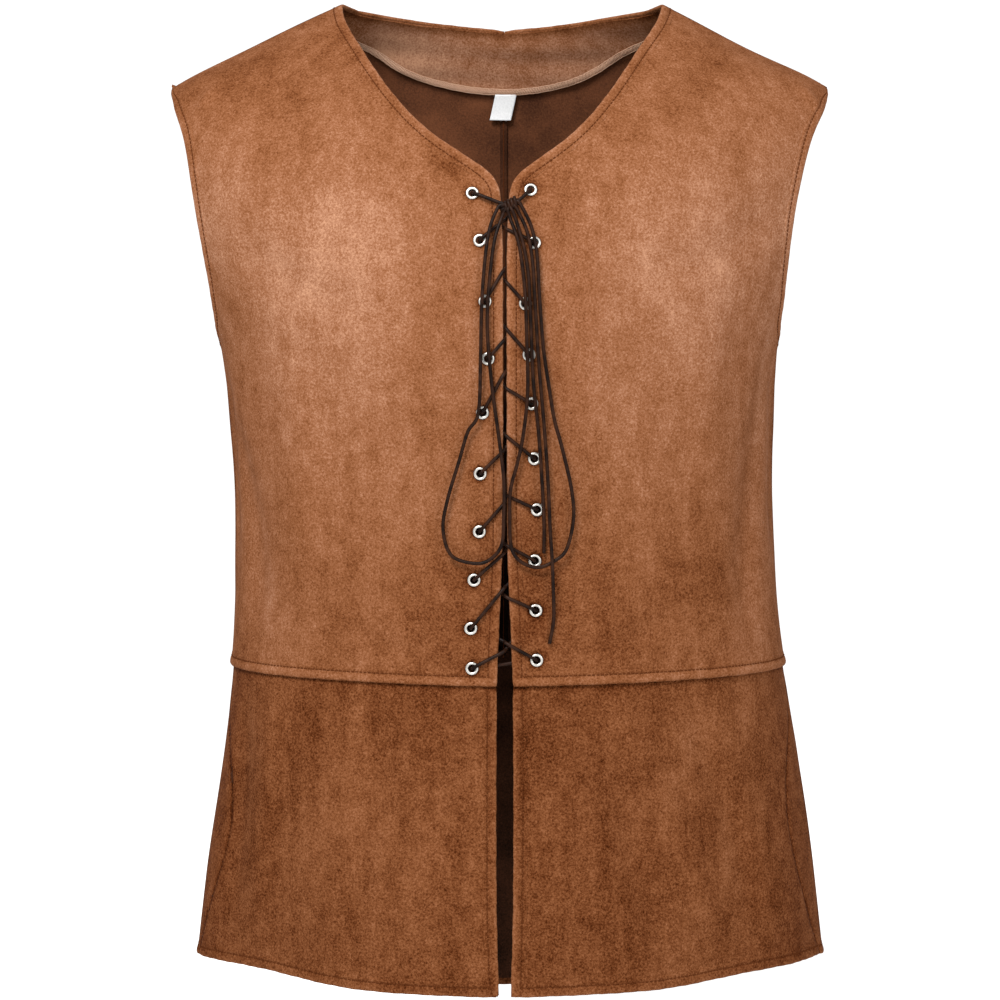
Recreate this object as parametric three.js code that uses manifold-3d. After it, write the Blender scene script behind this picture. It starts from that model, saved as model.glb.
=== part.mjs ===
// A sleeveless laced vest in suede cloth, worn shape, in millimetres, +Z up, the front facing -Y.
// The wearer's left is +X. Two fronts, two backs, a skirt in three panels, a back neck facing, a
// care label, ten pairs of metal eyelets, and one round lace that is crossed and tied in a bow.
import * as THREE from "three";
import { mergeVertices } from "three/addons/utils/BufferGeometryUtils.js";
import Module from "manifold-3d";

// Driving dimensions. Heights are measured from the hem at centre front.
const NECK_POINT_HEIGHT = 716.5; // where the shoulder seam meets the neck edge
const NECK_POINT_X = 121;
const SHOULDER_TIP_HEIGHT = 654;
const SHOULDER_TIP_X = 245.5;
const HELD_HEIGHT = 690; // middle of the shoulder seams, where the wearer carries the vest
const UNDERARM_HEIGHT = 465;
const UNDERARM_X = 210.5;
const WAIST_HEIGHT = 216; // lower edge of the fronts and backs, which lap over the skirt
const WAIST_RISE = 5; // how much higher that edge runs at the side seams
const LAP = 6.5; // how far the skirt runs up behind them
const BACK_NECK_HEIGHT = 703.8;
const CLOTH = 1.5; // thickness of one layer
const SEAM_GAP = 0.3; // between neighbouring pieces
const FACING_DEPTH = 46.3;
const FACING_CLOTH = 1.2;
const LACE_DIAMETER = 2.6;

// The worn form: oval rings. width is half the ring's width, front and back its depths each way
// from the side, the two squareness columns are superellipse exponents, and lean is a sideways shift.
const RINGS = [
  { height: -80, width: 246, front: 159, back: 141, squareFront: 1.6, squareBack: 1.7, lean: 4.9 },
  { height: -30, width: 243.5, front: 156, back: 137, squareFront: 1.6, squareBack: 1.7, lean: 4.8 },
  { height: 0, width: 240.4, front: 153.5, back: 134, squareFront: 1.6, squareBack: 1.7, lean: 4.7 },
  { height: 40, width: 235.4, front: 150, back: 129, squareFront: 1.7, squareBack: 1.75, lean: 4.7 },
  { height: 80, width: 229.8, front: 147, back: 124, squareFront: 1.8, squareBack: 1.85, lean: 4.6 },
  { height: 120, width: 223.6, front: 144.5, back: 119, squareFront: 1.87, squareBack: 1.95, lean: 4.4 },
  { height: 165, width: 217, front: 142.5, back: 113, squareFront: 1.92, squareBack: 2.05, lean: 3.7 },
  { height: 219, width: 209.5, front: 141, back: 108, squareFront: 1.96, squareBack: 2.1, lean: 2.6 },
  { height: 266, width: 204.7, front: 139.5, back: 105, squareFront: 2.0, squareBack: 2.15, lean: 1.5 },
  { height: 320, width: 203.3, front: 139.5, back: 105, squareFront: 2.02, squareBack: 2.2, lean: 0.5 },
  { height: 380, width: 204.4, front: 142, back: 109, squareFront: 2.05, squareBack: 2.2, lean: -1 },
  { height: 437, width: 207.6, front: 145.5, back: 116, squareFront: 2.1, squareBack: 2.2, lean: -2.4 },
  {
    height: UNDERARM_HEIGHT, width: UNDERARM_X,
    front: 146, back: 119.5, squareFront: 2.15, squareBack: 2.2, lean: -4,
  },
  { height: 500, width: 221.5, front: 144.5, back: 122.5, squareFront: 2.2, squareBack: 2.2, lean: -5 },
  { height: 540, width: 237, front: 139, back: 123.5, squareFront: 2.2, squareBack: 2.2, lean: -6.2 },
  { height: 577, width: 248, front: 130, back: 121, squareFront: 2.2, squareBack: 2.2, lean: -6.5 },
  { height: 610, width: 254, front: 115.5, back: 116, squareFront: 2.2, squareBack: 2.2, lean: -5.6 },
  { height: 640, width: 251, front: 94, back: 109, squareFront: 2.15, squareBack: 2.2, lean: -4.5 },
  {
    height: SHOULDER_TIP_HEIGHT, width: SHOULDER_TIP_X,
    front: 81.5, back: 104, squareFront: 2.1, squareBack: 2.2, lean: -4.4,
  },
  { height: 685, width: 185, front: 54, back: 91, squareFront: 2.1, squareBack: 2.2, lean: -3.5 },
  {
    height: NECK_POINT_HEIGHT, width: NECK_POINT_X,
    front: 29, back: 73, squareFront: 2.1, squareBack: 2.2, lean: -1.8,
  },
  { height: 735, width: 78, front: 16, back: 58, squareFront: 2.1, squareBack: 2.2, lean: -1.8 },
];
const LEAN_STARTS = 20; // from the centre line, so that the front edges stay straight
const LEAN_FULL = 110;

// Soft folds of the skirt: around says where on the ring (0 centre front, 1 side seam, 2 centre
// back), drift how far it moves round from waist to hem, depth is out (+) or in (-).
const SKIRT_FOLDS = [
  { side: 1, around: 0.3, drift: 0.16, width: 0.1, depth: -3.2 },
  { side: 1, around: 0.5, drift: 0.15, width: 0.11, depth: 3.4 },
  { side: 1, around: 0.78, drift: 0.06, width: 0.08, depth: -3 },
  { side: -1, around: 0.26, drift: 0.05, width: 0.11, depth: 2.4 },
  { side: -1, around: 0.55, drift: 0.08, width: 0.12, depth: -2.8 },
  { side: -1, around: 0.8, drift: 0.04, width: 0.08, depth: 2.6 },
  { side: 1, around: 1.42, drift: 0.05, width: 0.16, depth: 4.5 },
  { side: -1, around: 1.36, drift: 0.05, width: 0.16, depth: 4 },
  { side: 1, around: 1.74, drift: 0.02, width: 0.12, depth: -4 },
  { side: -1, around: 1.7, drift: 0.02, width: 0.12, depth: -3.6 },
];
const FOLD_FADE = 150; // height over which a fold grows, from the waist down

// Half the gap between the front edges.
const FRONT_GAP = [
  { height: 0, half: 5 },
  { height: 60, half: 6.6 },
  { height: 219, half: 6.2 },
  { height: 262, half: 4.4 },
  { height: 310, half: 2.4 },
  { height: 345, half: 2 },
  { height: 540, half: 2 },
  { height: 568, half: 3.2 },
];
// The neck edge of a front, from the top of the front edge to the neck point.
const FRONT_NECK = [
  { x: 3.2, height: 560 },
  { x: 3.7, height: 570 },
  { x: 7.5, height: 578.8 },
  { x: 16, height: 586.8 },
  { x: 31, height: 596.4 },
  { x: 49, height: 608.5 },
  { x: 65, height: 623.8 },
  { x: 79.4, height: 641.5 },
  { x: 94, height: 664.5 },
  { x: 105.5, height: 683.5 },
  { x: 114.4, height: 700 },
  { x: NECK_POINT_X, height: NECK_POINT_HEIGHT },
];
const BACK_NECK = [
  { x: 0, height: BACK_NECK_HEIGHT },
  { x: 30, height: 705.8 },
  { x: 62, height: 710 },
  { x: 92, height: 713.8 },
  { x: NECK_POINT_X, height: NECK_POINT_HEIGHT },
];
// The armhole edges, from the underarm to the shoulder tip.
const FRONT_ARMHOLE = [
  { x: UNDERARM_X, height: UNDERARM_HEIGHT },
  { x: 210.2, height: 469 },
  { x: 210, height: 480 },
  { x: 212.4, height: 500 },
  { x: 216, height: 531 },
  { x: 221, height: 563 },
  { x: 227.2, height: 598 },
  { x: 235.6, height: 628 },
  { x: SHOULDER_TIP_X, height: SHOULDER_TIP_HEIGHT },
];
const BACK_ARMHOLE = [
  { x: UNDERARM_X, height: UNDERARM_HEIGHT },
  { x: 210.2, height: 469 },
  { x: 210.4, height: 482 },
  { x: 213.6, height: 508 },
  { x: 218.6, height: 540 },
  { x: 224, height: 573 },
  { x: 230.4, height: 606 },
  { x: 237.6, height: 633 },
  { x: SHOULDER_TIP_X, height: SHOULDER_TIP_HEIGHT },
];
// The skirt's side seam swings forward between waist and hem.
const SKIRT_SEAM = [
  { height: -5, around: 0.92 },
  { height: 20, around: 0.865 },
  { height: 40, around: 0.83 },
  { height: 68, around: 0.79 },
  { height: 105, around: 0.765 },
  { height: 150, around: 0.81 },
  { height: 190, around: 0.92 },
  { height: 220, around: 1 },
  { height: 240, around: 1 },
];
// The hem: level across the front, a little higher at the sides, and dropped at centre back.
const FRONT_HEM = -4.8;
const SIDE_HEM = 2.5;
const BACK_HEM = -48;

// Eyelets from the top down, x from the centre line, with the height at which the lace that leaves
// each one dips through the gap between the fronts.
const EYELETS = {
  right: [
    { x: 23.2, height: 567.3, dip: 0 },
    { x: 17.9, height: 533.4, dip: 548 },
    { x: 14.1, height: 490.1, dip: 513 },
    { x: 12, height: 449.4, dip: 463 },
    { x: 15.9, height: 411.1, dip: 439.5 },
    { x: 17.6, height: 367.7, dip: 385 },
    { x: 18.2, height: 326.3, dip: 347 },
    { x: 22, height: 291.7, dip: 311.5 },
    { x: 24.3, height: 257.1, dip: 286.5 },
    { x: 23.5, height: 228.6, dip: 241.5 },
  ],
  left: [
    { x: 18.4, height: 569.7, dip: 0 },
    { x: 21, height: 531.7, dip: 542 },
    { x: 14.6, height: 488.4, dip: 504.5 },
    { x: 17.1, height: 452.2, dip: 471.5 },
    { x: 19, height: 417.6, dip: 429 },
    { x: 21, height: 378.4, dip: 395.5 },
    { x: 23, height: 342, dip: 353 },
    { x: 21.4, height: 305.5, dip: 317.5 },
    { x: 22.1, height: 270, dip: 280.5 },
    { x: 22.7, height: 234.5, dip: 247.5 },
  ],
};
const SIDES = { left: 1, right: -1 };
const EYELET_HOLE = 2.6; // radii
const EYELET_BARREL = 3;
const EYELET_FLANGE = 4.7;
const EYELET_ROLL = 0.8; // height of the flange's crest
const EYELET_LIP = 0.6; // height of the flange at the hole
const CLOTH_HOLE = EYELET_BARREL + 1.5 * SEAM_GAP;

const WASHER = 4.2;
const WASHER_CLOTH = 0.6; // thickness of the washer behind the cloth
const LACE_CLEAR = 0.2;

// Lower edge of the back neck facing, from centre back to the shoulder seam.
const FACING_EDGE = [
  { x: 0, height: BACK_NECK_HEIGHT - FACING_DEPTH },
  { x: 31, height: 660.2 },
  { x: 58, height: 666.5 },
  { x: 82, height: 677 },
  { x: 106, height: 691.5 },
  { x: 133, height: 707.3 },
];
const LABEL = { x: 1.2, top: 658.8, width: 17, drop: 20, slant: 4.5 };
const LABEL_CLOTH = 1;

// The bow. The knot lies over the gap; every free stretch starts or ends at it. The rows hold
// x from the centre line, height, and how far the lace's middle stands off the cloth.
const KNOT = { x: 3.1, height: 557.6, lift: 4.2, width: 12, tall: 10, depth: 7.5 };
const LACE_AT_KNOT = {
  right: { x: -5.2, height: 559.8, lift: 3.6 },
  left: { x: 11.2, height: 561.6, lift: 3.6 },
};
const FREE_LACE = {
  lace_loop_right: {
    steps: 36,
    rows: [
      [-5.4, 554.4, 6], [-12, 534.5, 5.4], [-16, 491.8, 5.3], [-17, 449, 5.3], [-18.5, 411.4, 5.3],
      [-26, 397.9, 5.3], [-31.7, 378, 5.3], [-40.2, 349.5, 5.3], [-43.1, 328.1, 5.3],
      [-37.4, 309.6, 5.3], [-21, 303.9, 5.3], [-10, 307, 5.3], [-2, 318, 5.3], [-0.8, 340, 5.3],
      [-0.8, 363.7, 5.3], [-4, 392.2, 5.3], [-9.5, 435, 5.3], [-12.4, 478, 5.3], [-8.2, 527.4, 5.3],
      [-1.8, 550, 4.4],
    ],
  },
  lace_loop_left: {
    steps: 40,
    rows: [
      [11.8, 556.4, 6], [18.5, 542, 5.4], [22.4, 523, 5.3], [24.2, 491.8, 5.3], [27, 456, 5.3],
      [31, 427.8, 5.3], [34.6, 406.4, 5.3], [40.4, 385.1, 5.3], [46.5, 356.6, 5.3], [47.9, 335.2, 5.3],
      [42.9, 313.9, 5.3], [34.4, 305.4, 5.3], [23, 301.1, 5.3], [10.9, 305.4, 5.3], [4.4, 316, 5.3],
      [3.4, 337, 5.3], [4, 357, 5.3], [8.8, 376, 5.3], [13, 397, 5.3], [16, 427.8, 5.3],
      [15.2, 467, 5.3], [14, 497, 5.3], [10, 529, 5.3], [3.4, 549, 4.6],
    ],
  },
  lace_tail_long: {
    steps: 18,
    rows: [
      [10, 551.6, 5.2], [16, 537, 5.3], [19.4, 517, 5.3], [20.9, 491.8, 5.3], [23.6, 447, 5.3],
      [27.5, 399.3, 5.3], [30, 363.7, 5.3], [31.6, 327, 6.2], [32.8, 305, 8.3], [33.7, 287, 6],
      [34.4, 264, 3.2], [31.6, 246.3, 1.9],
    ],
  },
  lace_tail_short: {
    steps: 14,
    rows: [
      [6.8, 549.4, 6.2], [13, 529, 5.3], [16.4, 509, 5.3], [17.6, 487, 5.3], [19.8, 434, 5.3],
      [23.4, 399, 5.3], [26, 363, 5.3], [27.4, 335, 4], [27.6, 311, 2],
    ],
  },
};

const wasm = await Module();
wasm.setup();

// ---- curves and the form ------------------------------------------------------------------

// The value of a table's column at a key, on a smooth curve through the rows.
function smooth(table, key, column, at) {
  const last = table.length - 1;
  let i = 0;
  while (i < last - 1 && at > table[i + 1][key]) i += 1;
  const [a, b] = [table[i], table[i + 1]];
  const slope = (j) => {
    const [p, q] = [table[Math.max(j - 1, 0)], table[Math.min(j + 1, last)]];
    return (q[column] - p[column]) / (q[key] - p[key]);
  };
  const span = b[key] - a[key];
  const t = THREE.MathUtils.clamp((at - a[key]) / span, 0, 1);
  const [t2, t3] = [t * t, t * t * t];
  return (
    (2 * t3 - 3 * t2 + 1) * a[column] +
    (t3 - 2 * t2 + t) * span * slope(i) +
    (3 * t2 - 2 * t3) * b[column] +
    (t3 - t2) * span * slope(i + 1)
  );
}

const ring = (column, height) => smooth(RINGS, "height", column, height);
const halfPi = Math.PI / 2;

function foldDepth(side, around, height) {
  if (height > WAIST_HEIGHT) return 0;
  const grown = THREE.MathUtils.smoothstep(WAIST_HEIGHT - height, 0, FOLD_FADE);
  let sum = 0;
  for (const fold of SKIRT_FOLDS) {
    const centre = fold.around + fold.drift * (1 - height / WAIST_HEIGHT);
    const off = (around - centre) / fold.width;
    if (fold.side === side) sum += fold.depth * Math.exp(-off * off);
  }
  return sum * grown;
}

// A point of the form. around runs from 0 at centre front over 1 at the side to 2 at centre back.
function formPoint(side, around, height) {
  const inFront = around <= 1;
  const square = ring(inFront ? "squareFront" : "squareBack", height);
  const depth = inFront ? -ring("front", height) : ring("back", height);
  const turn = (inFront ? around : 2 - around) * halfPi;
  const bulge = foldDepth(side, around, height);
  const x = (ring("width", height) + bulge) * Math.sin(turn) ** (2 / square);
  const y = (depth + Math.sign(depth) * bulge) * Math.max(Math.cos(turn), 0) ** (2 / square);
  const lean = ring("lean", height) * THREE.MathUtils.smoothstep(x, LEAN_STARTS, LEAN_FULL);
  return new THREE.Vector3(side * x + lean, y, height);
}

function formNormal(side, around, height) {
  const step = 0.004;
  const low = THREE.MathUtils.clamp(around, step, 2 - step);
  const across = formPoint(side, low + step, height).sub(formPoint(side, low - step, height));
  const up = formPoint(side, around, height + 1).sub(formPoint(side, around, height - 1));
  return across.cross(up).multiplyScalar(side).normalize();
}

// Where x lies on the ring, as around. The lean is left out: outlines are given without it.
function aroundAt(x, height, front = true) {
  const square = ring(front ? "squareFront" : "squareBack", height);
  const share = Math.min(Math.abs(x) / ring("width", height), 1) ** (square / 2);
  const around = Math.asin(share) / halfPi;
  return front ? around : 2 - around;
}

// An edge as a curve in (around, height), its points spread evenly along the real cloth.
function edge(points, side = 1) {
  const curve = new THREE.SplineCurve(points);
  const fine = curve.getPoints(160);
  const lengths = [0];
  for (let i = 1; i < fine.length; i += 1) {
    const [a, b] = [fine[i - 1], fine[i]].map((p) => formPoint(side, p.x, p.y));
    lengths.push(lengths[i - 1] + a.distanceTo(b));
  }
  return (share) => {
    const want = share * lengths[lengths.length - 1];
    let i = 1;
    while (i < fine.length - 1 && lengths[i] < want) i += 1;
    const t = (want - lengths[i - 1]) / (lengths[i] - lengths[i - 1]);
    return fine[i - 1].clone().lerp(fine[i], THREE.MathUtils.clamp(t, 0, 1));
  };
}

const straight = (a, b) => edge([a, a.clone().lerp(b, 0.5), b]);
const onRing = (around, height) => new THREE.Vector2(around, height);
const traced = (table, front) =>
  table.map((row) => onRing(aroundAt(row.x, row.height, front), row.height));

// Two edges one after the other, the first up to share `knee`, so that both sides of a panel can
// turn their corners on the same row.
const joined = (first, second, knee) => (t) =>
  t < knee ? first(t / knee) : second((t - knee) / (1 - knee));

// A panel's inner points from its four edges.
function patch(low, high, start, end) {
  const corners = [start(0), end(0), start(1), end(1)];
  return (s, t) => {
    const mix = (a, b, k) => a.clone().lerp(b, k);
    const sides = mix(start(t), end(t), s);
    const levels = mix(low(s), high(s), t);
    const bilinear = mix(mix(corners[0], corners[1], s), mix(corners[2], corners[3], s), t);
    return sides.add(levels).sub(bilinear);
  };
}

// ---- cloth walls ---------------------------------------------------------------------------

const even = (count) => Array.from({ length: count + 1 }, (_, i) => i / count);

// A closed wall over a grid of points, each {point, normal}: outer face, inner face and rim.
function wall(grid, outside, thickness) {
  const [rows, columns] = [grid.length, grid[0].length];
  const nudged = grid.map((row, i) =>
    row.map(({ point, normal }, j) => {
      const inward = new THREE.Vector3();
      if (i === 0) inward.add(grid[1][j].point.clone().sub(point).setLength(SEAM_GAP / 2));
      if (i === rows - 1) inward.add(grid[i - 1][j].point.clone().sub(point).setLength(SEAM_GAP / 2));
      if (j === 0) inward.add(row[1].point.clone().sub(point).setLength(SEAM_GAP / 2));
      if (j === columns - 1) inward.add(row[j - 1].point.clone().sub(point).setLength(SEAM_GAP / 2));
      return { point: point.clone().add(inward), normal };
    }),
  );
  const positions = [];
  for (const lift of [outside, outside - thickness])
    for (const row of nudged)
      for (const { point, normal } of row)
        positions.push(...point.clone().addScaledVector(normal, lift).toArray());
  const at = (i, j, layer) => layer * rows * columns + i * columns + j;
  const faces = [];
  const quad = (a, b, c, d) => faces.push(a, b, c, a, c, d);
  for (let i = 0; i < rows - 1; i += 1)
    for (let j = 0; j < columns - 1; j += 1) {
      quad(at(i, j, 0), at(i, j + 1, 0), at(i + 1, j + 1, 0), at(i + 1, j, 0));
      quad(at(i, j, 1), at(i + 1, j, 1), at(i + 1, j + 1, 1), at(i, j + 1, 1));
    }
  for (let j = 0; j < columns - 1; j += 1) {
    quad(at(0, j, 0), at(0, j, 1), at(0, j + 1, 1), at(0, j + 1, 0));
    quad(at(rows - 1, j, 0), at(rows - 1, j + 1, 0), at(rows - 1, j + 1, 1), at(rows - 1, j, 1));
  }
  for (let i = 0; i < rows - 1; i += 1) {
    quad(at(i, 0, 0), at(i + 1, 0, 0), at(i + 1, 0, 1), at(i, 0, 1));
    quad(at(i, columns - 1, 0), at(i, columns - 1, 1), at(i + 1, columns - 1, 1), at(i + 1, columns - 1, 0));
  }
  const geometry = new THREE.BufferGeometry();
  geometry.setAttribute("position", new THREE.Float32BufferAttribute(positions, 3));
  geometry.setIndex(faces);
  return geometry;
}

function flipped(geometry) {
  const index = geometry.index.array;
  for (let i = 0; i < index.length; i += 3) [index[i], index[i + 1]] = [index[i + 1], index[i]];
  return geometry;
}

// A wall on one half of the form. The right half's faces are turned to point out again.
function halfWall(side, place, columns, rows, outside = 0, thickness = CLOTH) {
  const grid = rows.map((t) =>
    columns.map((s) => {
      const { x: around, y: height } = place(s, t);
      return { point: formPoint(side, around, height), normal: formNormal(side, around, height) };
    }),
  );
  const built = wall(grid, outside, thickness);
  return side > 0 ? built : flipped(built);
}

const material = (color, roughness, metalness = 0) =>
  new THREE.MeshStandardMaterial({ color, roughness, metalness });
const suede = material("#a5663f", 0.9);
const skirtSuede = material("#8a5433", 0.9);
const label = material("#f2f1ee", 0.6);
const nickel = material("#d9d7d2", 0.25, 1);
const laceLeather = material("#2b1b15", 0.5);

function named(name, geometry, finish) {
  const mesh = new THREE.Mesh(geometry, finish);
  mesh.name = name;
  return mesh;
}

// ---- fronts and backs ------------------------------------------------------------------------

const KNEE = 0.56; // the row that starts at the neck's lowest point and ends at the underarm
const BACK_KNEE = 0.86; // the row that starts at the top of the centre back seam
const FRONT_COLUMNS = [0, 0.02, 0.045, 0.075, 0.12, 0.19, 0.28, 0.39, 0.51, 0.64, 0.77, 0.89, 1];
const BACK_COLUMNS = even(14).reverse(); // from the side round to the centre, as the fronts run
const UNDERARM_ROWS = [0.575, 0.59, 0.61]; // close together, where the armhole turns
const FRONT_ROWS = [
  ...even(15).map((t) => t * KNEE),
  ...[...UNDERARM_ROWS, 0.65, 0.7, 0.76, 0.82, 0.88, 0.94, 1],
];
const BACK_ROWS = [
  ...even(10).map((t) => t * KNEE),
  ...[...UNDERARM_ROWS, 0.66, 0.72, 0.77, 0.82, BACK_KNEE, 0.9, 0.93, 0.965, 1],
];

function gapEdge(height) {
  const half = smooth(FRONT_GAP, "height", "half", height);
  return onRing(aroundAt(half, height), height);
}

const backNeck = edge(traced(BACK_NECK, false));
const sideSeam = straight(onRing(1, WAIST_HEIGHT + WAIST_RISE), onRing(1, UNDERARM_HEIGHT));

// The rest of a panel follows from its two long edges: waist and shoulder run straight between them.
function panelPlace(start, end) {
  const waist = (s) => start(0).lerp(end(0), s);
  const shoulder = (s) => start(1).lerp(end(1), s);
  return patch(waist, shoulder, start, end);
}

function frontPlace() {
  const heights = even(12).map((k) => THREE.MathUtils.lerp(WAIST_HEIGHT, FRONT_NECK[0].height, k));
  const start = joined(edge(heights.map(gapEdge)), edge(traced(FRONT_NECK, true)), KNEE);
  return panelPlace(start, joined(sideSeam, edge(traced(FRONT_ARMHOLE, true)), KNEE));
}

function backPlace() {
  const centreSeam = straight(onRing(2, WAIST_HEIGHT), onRing(2, BACK_NECK_HEIGHT));
  const start = joined(centreSeam, backNeck, BACK_KNEE);
  return panelPlace(start, joined(sideSeam, edge(traced(BACK_ARMHOLE, false)), KNEE));
}

// A point at x and height on the front or back of the form, moved out along its normal.
function clothPoint(x, height, lift, front = true) {
  const side = x < 0 ? -1 : 1;
  const around = aroundAt(x, height, front);
  return formPoint(side, around, height).addScaledVector(formNormal(side, around, height), lift);
}

function solidOf(geometry) {
  const bare = geometry.clone();
  bare.deleteAttribute("normal");
  bare.deleteAttribute("uv");
  const merged = mergeVertices(bare, 1e-4);
  return new wasm.Manifold(
    new wasm.Mesh({
      numProp: 3,
      vertProperties: new Float32Array(merged.attributes.position.array),
      triVerts: new Uint32Array(merged.index.array),
    }),
  );
}

function geometryOf(solid) {
  const mesh = solid.getMesh();
  const geometry = new THREE.BufferGeometry();
  geometry.setAttribute("position", new THREE.BufferAttribute(mesh.vertProperties, 3));
  geometry.setIndex(new THREE.BufferAttribute(mesh.triVerts, 1));
  return geometry;
}

// Turns a shape made along Y so that it stands on the front at x and height.
function standOnFront(geometry, x, height) {
  const side = x < 0 ? -1 : 1;
  const out = formNormal(side, aroundAt(x, height), height);
  const turn = new THREE.Quaternion().setFromUnitVectors(new THREE.Vector3(0, 1, 0), out);
  const spot = clothPoint(x, height, 0);
  return geometry.applyQuaternion(turn).translate(spot.x, spot.y, spot.z);
}

const ROUND = 10; // sides of a hole and of an eyelet

function front(side, eyelets) {
  let solid = solidOf(halfWall(side, frontPlace(), FRONT_COLUMNS, FRONT_ROWS));
  for (const { x, height } of eyelets) {
    const punch = new THREE.CylinderGeometry(CLOTH_HOLE, CLOTH_HOLE, 6 * CLOTH, ROUND);
    solid = solid.subtract(solidOf(standOnFront(punch, side * x, height)));
  }
  return geometryOf(solid);
}

// An eyelet: a rolled flange outside, a barrel through the cloth and a washer behind.
function eyelet(x, height) {
  const [top, foot] = [SEAM_GAP + EYELET_ROLL, -CLOTH - SEAM_GAP];
  const profile = [
    [EYELET_HOLE, foot - WASHER_CLOTH],
    [WASHER, foot - WASHER_CLOTH],
    [WASHER, foot],
    [EYELET_BARREL, foot],
    [EYELET_BARREL, SEAM_GAP],
    [EYELET_FLANGE, SEAM_GAP],
    [(EYELET_FLANGE + EYELET_HOLE) / 2, top],
    [EYELET_HOLE, SEAM_GAP + EYELET_LIP],
    [EYELET_HOLE, foot - WASHER_CLOTH],
  ];
  const points = profile.map(([r, along]) => new THREE.Vector2(r, along));
  return standOnFront(new THREE.LatheGeometry(points, ROUND), x, height);
}

// ---- skirt, facing and label -----------------------------------------------------------------

const SKIRT_ROWS = [...even(9).map((t) => t * 0.96), 1];
const SKIRT_BACK_COLUMNS = even(28);
const SKIRT_LIFT = -CLOTH - SEAM_GAP; // under the lap of the fronts and backs

function skirtHeight(around, t) {
  const ramp = (a, b, from, to) => a + (b - a) * THREE.MathUtils.smoothstep(around, from, to);
  const hem = around < 1 ? ramp(FRONT_HEM, SIDE_HEM, 0.35, 0.7) : ramp(SIDE_HEM, BACK_HEM, 1, 1.9);
  const waist = WAIST_HEIGHT + WAIST_RISE * Math.min(around, 2 - around);
  return THREE.MathUtils.lerp(hem, waist + LAP, t);
}

const seamAround = (height) => smooth(SKIRT_SEAM, "height", "around", height);

function skirtFrontPlace(s, t) {
  const height = skirtHeight(s, t);
  const around = THREE.MathUtils.lerp(gapEdge(height).x, seamAround(height), s);
  return onRing(around, height);
}

// The back of the skirt is one piece, from the right side seam round to the left one.
function skirtBack() {
  const grid = SKIRT_ROWS.map((t) =>
    SKIRT_BACK_COLUMNS.map((s) => {
      const side = s < 0.5 ? -1 : 1;
      const toCentre = 1 - Math.abs(2 * s - 1);
      const height = skirtHeight(1 + toCentre, t);
      const around = THREE.MathUtils.lerp(seamAround(height), 2, toCentre);
      return { point: formPoint(side, around, height), normal: formNormal(side, around, height) };
    }),
  );
  return flipped(wall(grid, SKIRT_LIFT, CLOTH));
}

// The facing lies inside the two backs, between the neck edge and its own lower edge.
const FACING_LIFT = -CLOTH - 6 * SEAM_GAP;

function facing() {
  const lowerEdge = edge(traced(FACING_EDGE, false));
  const grid = even(4).map((t) =>
    even(24).map((s) => {
      const side = s < 0.5 ? -1 : 1;
      const fromCentre = Math.abs(2 * s - 1);
      const { x: around, y: height } = lowerEdge(fromCentre).lerp(backNeck(fromCentre), t);
      return { point: formPoint(side, around, height), normal: formNormal(side, around, height) };
    }),
  );
  return flipped(wall(grid, FACING_LIFT, FACING_CLOTH));
}

function careLabel() {
  const lift = FACING_LIFT - FACING_CLOTH - SEAM_GAP;
  const grid = even(3).map((t) =>
    even(2).map((s) => {
      const x = (s - 0.5) * LABEL.width - LABEL.slant * (1 - t) + LABEL.x;
      const height = LABEL.top - LABEL.drop * (1 - t);
      const around = aroundAt(x, height, false);
      const side = x < 0 ? -1 : 1;
      return { point: formPoint(side, around, height), normal: formNormal(side, around, height) };
    }),
  );
  return flipped(wall(grid, lift, LABEL_CLOTH));
}

// ---- lace ------------------------------------------------------------------------------------

const LACE = LACE_DIAMETER / 2;
const OVER_EYELET = SEAM_GAP + EYELET_ROLL + LACE_CLEAR + LACE;
const UNDER_EYELET = -CLOTH - SEAM_GAP - WASHER_CLOTH - LACE_CLEAR - LACE;
const OVER_CLOTH = LACE + LACE_CLEAR;
const UNDER_CLOTH = -CLOTH - LACE - LACE_CLEAR;
const DIP = 1; // how far from the centre line the lace turns in and out of the gap

// A route whose corners are its points.
class Route extends THREE.Curve {
  constructor(points) {
    super();
    this.points = points;
  }
  getPoint(t, target = new THREE.Vector3()) {
    const along = THREE.MathUtils.clamp(t, 0, 1) * (this.points.length - 1);
    const i = Math.min(Math.floor(along), this.points.length - 2);
    return target.lerpVectors(this.points[i], this.points[i + 1], along - i);
  }
  getPointAt(t, target) {
    return this.getPoint(t, target);
  }
  getTangentAt(t, target = new THREE.Vector3()) {
    const step = 0.3 / (this.points.length - 1);
    const ahead = this.getPoint(t + step);
    return target.copy(ahead).sub(this.getPoint(t - step)).normalize();
  }
}

function tube(points) {
  const corner = (i) => new THREE.Vector2(LACE, 0).rotateAround(new THREE.Vector2(), (i * Math.PI) / 4);
  const section = new THREE.Shape(even(7).map((k) => corner(7 * k)));
  const settings = { steps: points.length - 1, extrudePath: new Route(points), bevelEnabled: false };
  return new THREE.ExtrudeGeometry(section, settings);
}

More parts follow.
